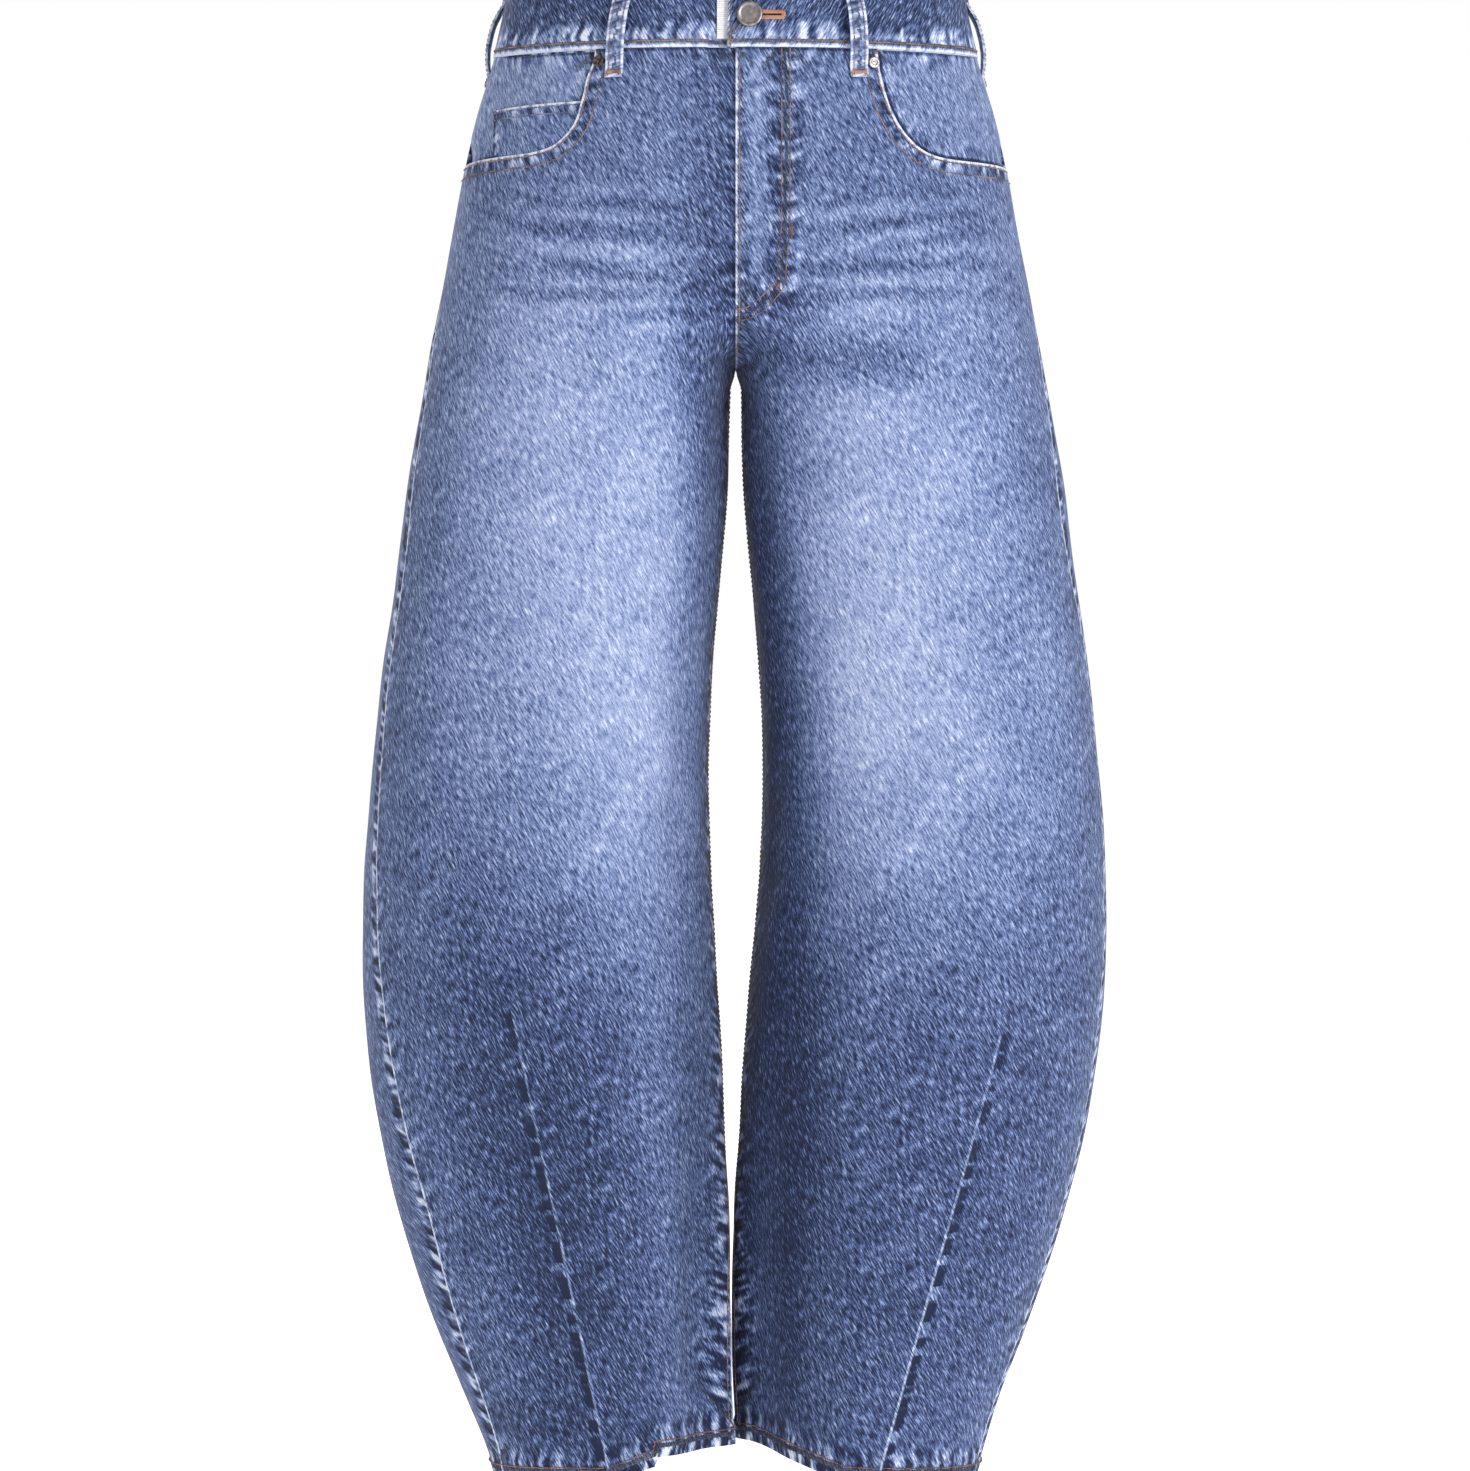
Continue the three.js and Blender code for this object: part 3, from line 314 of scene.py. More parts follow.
# Distances along the cloth at one height, kept in a table for each half so that a place can be found by
# millimetres.
LEVELS = np.linspace(24, -990, 196)
TURNS = np.linspace(-0.2, 2, 441)
for half in (LEFT, RIGHT):
    points = form(half, TURNS[None, :], LEVELS[:, None])
    steps = np.linalg.norm(np.diff(points, axis=1), axis=2)
    half.lengths = np.concatenate([np.zeros((len(LEVELS), 1)), np.cumsum(steps, axis=1)], axis=1)
    half.lengths -= half.lengths[:, np.argmin(np.abs(TURNS))][:, None]


def level_rows(half, z):
    place = np.clip((LEVELS[0] - z) / (LEVELS[0] - LEVELS[1]), 0, len(LEVELS) - 1.001)
    i = place.astype(int)
    return lerp(half.lengths[i], half.lengths[i + 1], (place - i)[:, None])


def run_of(half, turn, z):
    """Millimetres along the cloth from the centre front to a way round."""
    turn, z = np.broadcast_arrays(np.asarray(turn, float), np.asarray(z, float))
    rows = level_rows(half, z.ravel())
    place = np.clip((turn.ravel() - TURNS[0]) / (TURNS[1] - TURNS[0]), 0, len(TURNS) - 1.001)
    j = place.astype(int)
    each = np.arange(len(j))
    return lerp(rows[each, j], rows[each, j + 1], place - j).reshape(turn.shape)


def turn_of(half, run, z):
    """The way round at a number of millimetres along the cloth from the centre front."""
    run, z = np.broadcast_arrays(np.asarray(run, float), np.asarray(z, float))
    rows = level_rows(half, z.ravel())
    wanted = run.ravel()
    j = np.clip((rows < wanted[:, None]).sum(axis=1) - 1, 0, len(TURNS) - 2)
    each = np.arange(len(j))
    share = (wanted - rows[each, j]) / (rows[each, j + 1] - rows[each, j])
    return lerp(TURNS[j], TURNS[j + 1], np.clip(share, 0, 1)).reshape(run.shape)


def turn_at_x(half, x, z):
    """The way round at which the front has a given x in the front view."""
    x, z = np.broadcast_arrays(np.asarray(x, float), np.asarray(z, float))
    low = np.full(x.shape, -0.6)
    high = np.ones(x.shape)
    for _ in range(24):
        middle = (low + high) / 2
        inside = half.sign * form(half, middle, z)[..., 0] < half.sign * x
        low = np.where(inside, middle, low)
        high = np.where(inside, high, middle)
    return (low + high) / 2


def moved(half, turn, z, distance):
    """The way round at a distance along the cloth from another."""
    return turn_of(half, run_of(half, turn, z) + distance, z)


def waist_rise(turn):
    """How much higher the waist lies at a way round than at the centre front."""
    front = form(LEFT, 0, BAND_MIDDLE)[..., 1]
    back = form(LEFT, 2, BAND_MIDDLE)[..., 1]
    here = form(LEFT, turn, np.full(np.shape(turn), BAND_MIDDLE))[..., 1]
    return WAIST_RISE * np.clip((here - front) / (back - front), 0, 1) ** 1.3


def waist_seam(turn):
    return waist_rise(turn) - BAND_HEIGHT - WAIST_GAP


def yoke_seam(turn):
    return lerp(YOKE_SIDE, YOKE_MIDDLE, smooth(turn, 1, 2))


def outseam(half, z):
    return 1 - half.forward(z)


def hem_line(half, turn):
    """The height of the hem's lower edge, which drops from the inseam to the outseam."""
    is_front = turn < 1
    place = np.where(is_front, turn, 2 - turn)
    begin = np.where(is_front, half.hem_from, 0.15)
    end = np.where(is_front, half.hem_to, 0.7)
    return HEM_INSEAM - HEM_DROP * (0.8 * smooth(place, begin, end) + 0.2 * smooth(place, 0.5, 1))


def hem_lift(half, turn, z):
    """How far the turned hem stands out from the cloth above it."""
    return HEM_EXTRA * smooth(hem_line(half, turn) + HEM_HEIGHT + HEM_STEP / 2 - z, 0, HEM_STEP)


# The grain of each panel hangs plumb, on a line 100 mm from the centre front or back.
GRAIN_LINE = 100
for half in (LEFT, RIGHT):
    front_grain = turn_at_x(half, half.sign * GRAIN_LINE + 0 * LEVELS, LEVELS)
    half.front_grain = run_of(half, front_grain, LEVELS)
    past = form(half, TURNS[None, :], LEVELS[:, None])[..., 0] * half.sign - GRAIN_LINE
    crossed = np.argmax((past < 0) & (TURNS > 1.05)[None, :], axis=1)
    before, after = (past[np.arange(len(LEVELS)), crossed + step] for step in (-1, 0))
    back_grain = lerp(TURNS[crossed - 1], TURNS[crossed], before / (before - after))
    half.back_grain = run_of(half, back_grain, LEVELS)


def grain_run(half, turn, z):
    """Millimetres round the cloth from the grain line, which is straight in each panel."""
    front = np.interp(-z, -LEVELS, half.front_grain)
    back = np.interp(-z, -LEVELS, half.back_grain)
    return run_of(half, turn, z) - np.where(turn < outseam(half, z), front, back)


def row_height(nominal, top, hem):
    """A row's height at a place round the panel, slid to meet the top edge and the hem line."""
    upper = lerp(HIP_BLEND, top, (nominal - HIP_BLEND) / (-BAND_HEIGHT - HIP_BLEND))
    slide = smooth(HEM_BLEND - nominal, 0, HEM_BLEND - HEM_INSEAM)
    lower = nominal + (hem - HEM_INSEAM) * slide
    return np.where(nominal > HIP_BLEND, upper, np.where(nominal > HEM_BLEND, nominal, lower))


def panel_levels(curve_height):
    """Row heights of a leg panel, 3 mm apart, and as close along the seam where it turns under."""
    upper = np.arange(-BAND_HEIGHT, CROTCH + curve_height, -3.0)
    angles = np.linspace(0, math.pi / 2, 56)
    turning = CROTCH + curve_height * (1 - np.sin(angles))
    lower = np.linspace(CROTCH, HEM_INSEAM, 238)[1:]
    return np.concatenate([upper, turning, lower])[:, None]


def leg_grid(half, nominal, stops, counts, top):
    """Ways round and heights of a grid on a panel, its columns even between one stop and the next."""
    piece = np.repeat(np.arange(len(counts)), counts)
    share = np.concatenate([np.arange(count) / count for count in counts])
    piece = np.append(piece, len(counts) - 1)
    share = np.append(share, 1.0)

    def spread(z):
        runs = [run_of(half, stop(z), z) for stop in stops]
        places = np.broadcast_to(piece, z.shape)
        return turn_of(half, lerp(np.choose(places, runs[:-1]), np.choose(places, runs[1:]), share), z)

    z = np.broadcast_to(nominal, (len(nominal), len(piece)))
    for _ in range(3):
        turn = spread(z)
        z = row_height(nominal, top(turn), hem_line(half, turn))
    return spread(z), z


# Fly: the left front's edge lies over the right front, which steps back and runs on behind it.
FLY_BOTTOM = -205
FLY_UNDERLAP = 6
FLY_PROUD = 0.5
FLY_STEP = 2.2
FLY_EASE = (-26, -9)
FLY_STEP_EASE = (-11, -4)


def fly_lift(half, turn, z):
    """How far a front stands out, or steps back, at the fly."""
    x = form(half, turn, z)[..., 0]
    down = smooth(z, FLY_BOTTOM - 16, FLY_BOTTOM - 4)
    if half is LEFT:
        return FLY_PROUD * smooth(-x, *FLY_EASE) * down
    return -FLY_STEP * smooth(x, *FLY_STEP_EASE) * down


# Shin darts, which take in the fronts from the knee to the hem: x and height of the point, x at the hem.
DARTS = {"left": (170, -675, 96), "right": (-143, -660, -84)}
DART_RIDGE = 1.2
DART_WIDTH = 3.2
DART_RISE = 40


def dart_turn(half, z):
    """The way round of a dart. Above its point the same column of the panel runs on up."""
    top_x, top_z, hem_x = DARTS[half.name]
    down = np.clip((top_z - z) / (top_z - HEM_INSEAM), 0, 1.03)
    below = turn_at_x(half, lerp(top_x, hem_x, down), z)
    across = run_of(half, turn_at_x(half, top_x, top_z), top_z)
    share = across / run_of(half, outseam(half, np.array(top_z, float)), top_z)
    above = turn_of(half, share * run_of(half, outseam(half, z), z), z)
    return np.where(z < top_z, below, above)


def beyond_dart(half, turn, z):
    """Millimetres along the cloth from the dart, below 0 on its inner side."""
    return run_of(half, turn, z) - run_of(half, dart_turn(half, z), z)


# Seams. Each is a line of points on the cloth, with how strongly the cloth beside it is roped, how pale
# its edge is rubbed (below 0, how dark the painted shade along it is), and how far the ropes reach. A
# vertex keeps its distance from the nearest seam, how far along it lies, and the depth of the ropes there.
def seam_line(half, turn, z, lift=0.0):
    return lifted(half, turn, z, np.full(np.broadcast(turn, z).shape, float(lift)))


ROPES_END = 13
ROPES_FULL = 3


def nearest_seam(points, seams):
    """For each point: how far the nearest seam is, the run along it, its ropes, and its edge value, pale
    where worn and dark where shade is painted.
    """
    places = np.concatenate([seam[0] for seam in seams])
    runs = []
    kinds = []
    for number, (line, ropes, rim_wear_and_shade, *reach) in enumerate(seams):
        steps = np.linalg.norm(np.diff(line, axis=0), axis=1)
        runs.append(np.concatenate([[0], np.cumsum(steps)]) + 1000 * number)
        kinds.append(np.tile([float(ropes), float(rim_wear_and_shade), *(reach or [1.0])], (len(line), 1)))
    runs = np.concatenate(runs)
    kinds = np.concatenate(kinds)
    tree = KDTree(len(places))
    for index, place in enumerate(places):
        tree.insert(place, index)
    tree.balance()
    found = np.array([tree.find(point)[1] for point in points])
    best = np.linalg.norm(points - places[found], axis=1)
    run = runs[found].copy()
    for step in (-1, 1):
        other = np.clip(found + step, 0, len(places) - 1)
        along = places[other] - places[found]
        length = np.maximum((along**2).sum(axis=1), 1e-6)
        same = (np.abs(runs[other] - runs[found]) < 50) & (length > 1e-5)
        share = np.clip(((points - places[found]) * along).sum(axis=1) / length, 0, 1)
        away = np.linalg.norm(points - places[found] - along * share[:, None], axis=1)
        closer = same & (away < best)
        best = np.where(closer, away, best)
        run = np.where(closer, lerp(runs[found], runs[other], share), run)
    ropes, rim_wear_and_shade, reach = kinds[found].T
    # Ropes die out away from the seam, and where they reach further they start clear of the stitches.
    near = np.where(reach > 1, 0.25 + 0.75 * smooth(best, 0.5, 4), 1)
    ropes = ropes * smooth(best / reach, ROPES_END, ROPES_FULL) * near
    return np.column_stack([best, run, ropes, rim_wear_and_shade])


# Washing. The indigo is worn off the thighs and stays deep below the knees and beside the seams: height,
# paleness down the middle of the front, at its seams, down the middle of the back, at its seams.
WASHES = [
    (20, 0.46, 0.44, 0.46, 0.44),
    (-60, 0.46, 0.46, 0.46, 0.44),
    (-130, 0.44, 0.46, 0.52, 0.42),
    (-170, 0.5, 0.46, 0.58, 0.42),
    (-240, 0.6, 0.42, 0.6, 0.4),
    (-320, 0.66, 0.42, 0.54, 0.38),
    (-475, 0.68, 0.42, 0.52, 0.38),
    (-552, 0.58, 0.41, 0.46, 0.36),
    (-629, 0.42, 0.39, 0.4, 0.36),
    (-706, 0.32, 0.37, 0.33, 0.35),
    (-860, 0.3, 0.36, 0.31, 0.34),
    (-930, 0.33, 0.38, 0.33, 0.36),
    (-990, 0.36, 0.4, 0.36, 0.38),
]
FRONT_MIDDLE, FRONT_SIDE, BACK_MIDDLE, BACK_SIDE = (table_curve(WASHES, column) for column in range(1, 5))

# Single streaks: half, way round, height, half width, half height, paleness. Most are wear; a few are
# painted shade and one a painted highlight, marked below.
WEAR_AND_PAINTED_LIGHT_STREAKS = [
    # Painted highlight down the lit edge of a fold on the right shin.
    (RIGHT, 0.3, -790, 0.07, 200, 0.11),
    (RIGHT, 0.5, -760, 0.1, 130, -0.04),
    (RIGHT, 0.7, -440, 0.16, 130, -0.07),
    (RIGHT, 0.63, -400, 0.06, 90, -0.07),
    (RIGHT, 0.53, -475, 0.07, 60, -0.08),
    (RIGHT, 0.64, -570, 0.14, 90, -0.08),
    (RIGHT, 0.6, -780, 0.09, 200, -0.1),
    (RIGHT, 0.2, -320, 0.08, 140, -0.15),
    (RIGHT, 0.06, -420, 0.05, 190, -0.16),
    (RIGHT, 0.7, -935, 0.15, 22, -0.1),
    # These two rows: painted shade on the inner thigh of the left leg, turned from the light and toward the
    # other leg.
    (LEFT, 0.17, -410, 0.1, 190, -0.24),
    (LEFT, 0.05, -520, 0.07, 300, -0.34),
    (LEFT, 0.28, -320, 0.1, 90, -0.08),
    # These two rows: painted shade in the troughs of the left leg's folds below the knee.
    (LEFT, 0.16, -640, 0.1, 150, -0.16),
    (LEFT, 0.26, -800, 0.06, 180, -0.17),
    (LEFT, 0.64, -440, 0.1, 120, -0.13),
    (LEFT, 0.8, -520, 0.14, 130, -0.06),
    (LEFT, 0.72, -280, 0.12, 80, -0.04),
]

# Whiskers, the lines that the creases of the hips leave in the front view: half, distance of the middle
# from the centre plane, height, half length, half width, paleness, and rise per 100 mm outward.
WHISKERS = [
    (RIGHT, 80, -134, 60, 4.5, 0.07, 5),
    (RIGHT, 82, -144, 62, 4, -0.06, 5),
    (RIGHT, 104, -151, 52, 4.5, 0.08, 4),
    (RIGHT, 92, -162, 72, 5, -0.09, 9),
    (RIGHT, 72, -174, 58, 5, 0.1, 4),
    (RIGHT, 146, -166, 28, 4, 0.06, 20),
    (RIGHT, 86, -187, 62, 5, -0.1, 18),
    (RIGHT, 78, -196, 50, 4, 0.07, 0),
    (RIGHT, 140, -178, 30, 5, 0.08, 10),
    (RIGHT, 102, -203, 52, 4, -0.08, 0),
    (RIGHT, 98, -211, 56, 4.5, 0.08, -6),
    (RIGHT, 45, -215, 28, 4, -0.07, -6),
    (RIGHT, 50, -223, 34, 4, 0.06, -5),
    (LEFT, 108, -138, 58, 4, -0.08, 12),
    (LEFT, 90, -147, 62, 5, 0.09, 15),
    (LEFT, 110, -155, 58, 4, -0.09, 12),
    (LEFT, 102, -164, 46, 4, 0.08, 24),
    (LEFT, 126, -167, 44, 3.5, -0.07, 22),
    (LEFT, 130, -173, 46, 4, 0.08, 8),
    (LEFT, 95, -184, 66, 5, -0.1, 8),
    (LEFT, 100, -194, 64, 4.5, 0.08, 3),
    (LEFT, 98, -202, 58, 4, -0.07, 6),
    (LEFT, 82, -212, 44, 5, 0.07, 3),
    (LEFT, 45, -208, 18, 13, -0.12, 0),
    (LEFT, 80, -244, 44, 16, -0.16, -6),
]


WHISKER_STRENGTH = 1.35
HIP_BEND = 17


def wash_and_shade_of(half, turn, z):
    """How pale the cloth is, from 0 to 1, painted shade and highlights included."""
    is_front = turn < 1
    share = np.where(is_front, turn / outseam(half, z), (turn - 1) * 0.98 + 0.01)
    share = np.clip(share, 0, 1)
    hump = smooth(share, 0.02, 0.36) * smooth(1 - share, 0, 0.34)
    hip = smooth(z, -190, -120)
    hump = lerp(hump, 0.6, np.where(is_front, hip, 0))
    front = lerp(FRONT_SIDE(z), FRONT_MIDDLE(z), hump)
    back = lerp(BACK_SIDE(z), BACK_MIDDLE(z), hump)
    pale = np.where(is_front, front, back)
    for side, at, level, wide, tall, amount in WEAR_AND_PAINTED_LIGHT_STREAKS:
        if side is half:
            pale = pale + amount * np.exp(-(((turn - at) / wide) ** 2) - ((z - level) / tall) ** 2)
    across = np.abs(form(half, turn, z)[..., 0])
    lines = np.zeros(across.shape)
    # On the right hip the lines turn up at the side seam.
    bend = HIP_BEND * smooth(across, 120, 190) if half is RIGHT else 0
    for side, at, level, reach, wide, amount, rise in WHISKERS:
        if side is half:
            up = z - level - bend - rise * (across - at) / 100
            shape = np.exp(-(((across - at) / reach) ** 2) - (up / wide) ** 2)
            lines += WHISKER_STRENGTH * amount * shape
    # The fly is puckered pale between its edge and its double row, and dark beside that row. On the right
    # front a painted shadow darkens the cloth beside and under the left front's edge.
    if half is LEFT:
        worn = 0.13 * np.exp(-(((across - 13) / 6) ** 2))
        dark = 0.12 * np.exp(-(((across - 28) / 6) ** 2))
        lines += (worn - dark) * smooth(z, -206, -180)
    else:
        # Painted shadow of the fly's edge on the right front.
        lines += -0.13 * np.exp(-((across / 26) ** 2)) * smooth(z, -330, -260)
    return pale + np.where(is_front, lines, 0)


# The denim itself: cotton twill with an indigo warp over an undyed weft. The wash leaves the high yarns
# pale and the low ones blue, so the colour follows the paleness kept in the cloth (painted shade and
# highlights included), the slubs of the warp, the ropes along the seams, the rubbed edges and the painted
# shade along some seam edges.
def linear(code):
    values = [int(code[i : i + 2], 16) / 255 for i in (1, 3, 5)]
    return [v / 12.92 if v <= 0.04045 else ((v + 0.055) / 1.055) ** 2.4 for v in values] + [1]


def node(tree, kind, settings=None, **links):
    """Adds a node with its settings, and feeds its inputs from values or other nodes' outputs."""
    made = tree.nodes.new(kind)
    for key, value in (settings or {}).items():
        setattr(made, key, value)
    for key, value in links.items():
        socket = made.inputs[int(key[1:])] if key[0] == "i" and key[1:].isdigit() else made.inputs[key]
        if isinstance(value, bpy.types.NodeSocket):
            tree.links.new(value, socket)
        else:
            socket.default_value = value
    return made


def math_of(tree, operation, a, b=0.0, c=0.0):
    return node(tree, "ShaderNodeMath", {"operation": operation}, i0=a, i1=b, i2=c).outputs[0]


def ramp(tree, factor, stops):
    made = node(tree, "ShaderNodeValToRGB", None, i0=factor)
    made.color_ramp.interpolation = "EASE" if len(stops) == 2 else "LINEAR"
    while len(made.color_ramp.elements) < len(stops):
        made.color_ramp.elements.new(0.5)
    for element, (place, code) in zip(made.color_ramp.elements, stops):
        element.position = place
        element.color = linear(code) if isinstance(code, str) else [code] * 3 + [1]
    return made.outputs[0]


def new_material(name):
    material = bpy.data.materials.new(name)
    material.use_nodes = True
    material.node_tree.nodes.clear()
    return material, material.node_tree


def show_surface(tree, shader):
    output = node(tree, "ShaderNodeOutputMaterial")
    tree.links.new(shader.outputs[0], output.inputs[0])


def stretched_noise(tree, uv, lean, stretch, scale, detail):
    """Noise drawn out along a direction that leans from the warp."""
    place = node(tree, "ShaderNodeMapping", {"vector_type": "TEXTURE"}, Vector=uv, Rotation=(0, 0, lean),
                 Scale=(1, stretch, 1))
    noise = node(tree, "ShaderNodeTexNoise", None, Vector=place.outputs[0], Scale=scale, Detail=detail)
    return math_of(tree, "SUBTRACT", noise.outputs[0], 0.5)


def fading(tree, value, far, near):
    """1 at or under near, 0 from far on."""
    return node(tree, "ShaderNodeMapRange", {"interpolation_type": "SMOOTHSTEP"}, i0=value, i1=far, i2=near,
                i3=0.0, i4=1.0).outputs[0]


# How much each kind of wear, and the painted shade at the seam edges, changes the paleness, and how far it
# stands out in millimetres.
FLECK_TONE = 0.92
SLUB_TONE = 0.28
WEFT_TONE = 0.25
PATCH_TONE = 0.22
ROPE_TONE = 0.62
RIM_WEAR_AND_SHADE_TONE = 0.24
DART_TONE = 0.2
FLECK_RELIEF = 0.34
WEFT_RELIEF = 0.12
ROPE_RELIEF = 1.3
DART_RELIEF = 0.5

# Paleness and colour, from unworn indigo to the bare weft.
INDIGO = [(0.06, "#1b2440"), (0.28, "#3a4870"), (0.48, "#6678a4"), (0.7, "#9fadd2"), (0.95, "#e0e6f3")]


def denim_material(name, shift, slub):
    """Stone washed denim. shift makes it paler, and slub is how strongly the yarns show."""
    material, tree = new_material(name)
    wash_and_shade = node(tree, "ShaderNodeAttribute", {"attribute_name": "wash_and_shade"}).outputs["Fac"]
    seam = node(tree, "ShaderNodeAttribute", {"attribute_name": "seam"}).outputs["Vector"]
    edge_wear_and_shade = node(tree, "ShaderNodeAttribute", {"attribute_name": "rim_wear_and_shade"}).outputs["Fac"]
    distance, run, reach = node(tree, "ShaderNodeSeparateXYZ", None, i0=seam).outputs
    dart = node(tree, "ShaderNodeAttribute", {"attribute_name": "dart"}).outputs["Vector"]
    past_dart, down_dart, in_dart = node(tree, "ShaderNodeSeparateXYZ", None, i0=dart).outputs
    uv = node(tree, "ShaderNodeUVMap", {"uv_map": "weave"}).outputs[0]
    # Flecks of the twill are 1 mm wide and 4 to 6 mm long, and run steeply down to the right. The yarns,
    # 0.5 mm apart, are drawn about twice as coarse so that they show.
    flecks = stretched_noise(tree, uv, 0.5, 6.6, 1060.0, 1.5)
    slubs = stretched_noise(tree, uv, 0.42, 4.5, 330.0, 2.0)
    weft = stretched_noise(tree, uv, -0.9, 2.0, 1100.0, 1.0)
    # The yarns show most where the indigo is still deep.
    depth = math_of(tree, "MULTIPLY_ADD", wash_and_shade, -1.7, 1.88)
    contrast = math_of(tree, "MULTIPLY", depth, flecks)
    # Uneven fading in patches of 20 to 60 mm.
    patches = node(tree, "ShaderNodeTexNoise", None, Vector=uv, Scale=24.0, Detail=5.0).outputs[0]
    # Ropes along the seams: short troughs 6 to 9 mm apart that lie across the seam.
    along = math_of(tree, "MULTIPLY", run, 0.15)
    across = math_of(tree, "MULTIPLY", distance, 0.05)
    place = node(tree, "ShaderNodeCombineXYZ", None, X=math_of(tree, "ADD", along, across), Y=across)
    ropes = node(tree, "ShaderNodeTexNoise", None, Vector=place.outputs[0], Scale=1.0, Detail=1.0).outputs[0]
    rope = node(tree, "ShaderNodeMapRange", None, i0=ropes, i1=0.36, i2=0.64, i3=-0.5, i4=0.5).outputs[0]
    roped = math_of(tree, "MULTIPLY", rope, reach)
    # Seam edges: paler where worn, and darkened with painted shade where the seam's value is below 0.
    rim_wear_and_shade = math_of(tree, "MULTIPLY", fading(tree, distance, 2.4, 0.8), edge_wear_and_shade)
    # The dart is a fine pale edge, with dark blots 10 to 20 mm apart on its outer side.
    crest = fading(tree, math_of(tree, "ABSOLUTE", past_dart), 1.5, 0.5)
    down_dart = math_of(tree, "MULTIPLY", down_dart, 0.085)
    spot = node(tree, "ShaderNodeTexNoise", {"noise_dimensions": "1D"}, W=down_dart, Scale=1.0, Detail=1.0)
    spot = node(tree, "ShaderNodeMapRange", None, i0=spot.outputs[0], i1=0.42, i2=0.53, i3=0.6, i4=-2.0)
    inner = fading(tree, past_dart, 0.6, 1.8)
    outer = fading(tree, past_dart, 9.0, 4.0)
    blots = math_of(tree, "MULTIPLY", spot.outputs[0], math_of(tree, "MULTIPLY", inner, outer))
    dart_wear = math_of(tree, "MULTIPLY", math_of(tree, "MULTIPLY_ADD", crest, 1.2, blots), in_dart)
    pale = math_of(tree, "ADD", wash_and_shade, shift)
    pale = math_of(tree, "MULTIPLY_ADD", dart_wear, DART_TONE, pale)
    pale = math_of(tree, "MULTIPLY_ADD", contrast, FLECK_TONE * slub, pale)
    pale = math_of(tree, "MULTIPLY_ADD", slubs, SLUB_TONE * slub, pale)
    pale = math_of(tree, "MULTIPLY_ADD", weft, WEFT_TONE * slub, pale)
    uneven = math_of(tree, "SUBTRACT", patches, 0.5)
    pale = math_of(tree, "MULTIPLY_ADD", uneven, PATCH_TONE, pale)
    pale = math_of(tree, "MULTIPLY_ADD", roped, ROPE_TONE, pale)
    pale = math_of(tree, "MULTIPLY_ADD", rim_wear_and_shade, RIM_WEAR_AND_SHADE_TONE, pale)
    colour = ramp(tree, pale, INDIGO)
    height = math_of(tree, "MULTIPLY", flecks, FLECK_RELIEF)
    height = math_of(tree, "MULTIPLY_ADD", weft, WEFT_RELIEF, height)
    height = math_of(tree, "MULTIPLY_ADD", roped, ROPE_RELIEF, height)
    height = math_of(tree, "MULTIPLY_ADD", dart_wear, DART_RELIEF, height)
    bump = node(tree, "ShaderNodeBump", None, Strength=1.0, Distance=0.001, Height=height)
    shader = node(tree, "ShaderNodeBsdfPrincipled", None, Roughness=0.88, Normal=bump.outputs[0])
    tree.links.new(colour, shader.inputs["Base Color"])
    shader.inputs["Specular IOR Level"].default_value = 0.25
    shader.inputs["Sheen Weight"].default_value = 0.08
    shader.inputs["Sheen Roughness"].default_value = 0.5
    show_surface(tree, shader)
    return material


WASHED_DENIM = denim_material("stone_washed_denim", -0.022, 1.28)


# A cloth piece: a wall on a grid of points, with the weave's own coordinates, the paleness and the
# nearest seam kept at each vertex, and on the fronts the place beside the dart.
MM = 0.001


def grid_quads(shape, turned, drop):
    """Quads between the points of a grid, without those that touch a dropped point."""
    rows, columns = shape
    index = np.arange(rows * columns).reshape(rows, columns)
    quads = np.stack([index[:-1, :-1], index[1:, :-1], index[1:, 1:], index[:-1, 1:]], axis=-1)
    quads = quads.reshape(-1, 4)
    if turned:
        quads = quads[:, ::-1]
    if drop is not None:
        quads = quads[~drop.ravel()[quads].any(axis=1)]
    return quads


def keep_at_vertices(mesh, name, values):
    """Stores a number or a vector for each vertex."""
    vector = values.ndim == 2
    store = mesh.attributes.new(name, "FLOAT_VECTOR" if vector else "FLOAT", "POINT")
    store.data.foreach_set("vector" if vector else "value", values.astype(np.float32).ravel())


def add_object(name, data):
    made = bpy.data.objects.new(name, data)
    bpy.context.scene.collection.objects.link(made)
    return made


def settle(made):
    """Turns what an object's modifiers make into its own mesh."""
    graph = bpy.context.evaluated_depsgraph_get()
    graph.update()
    mesh = bpy.data.meshes.new_from_object(made.evaluated_get(graph))
    made.modifiers.clear()
    made.data = mesh
    return mesh


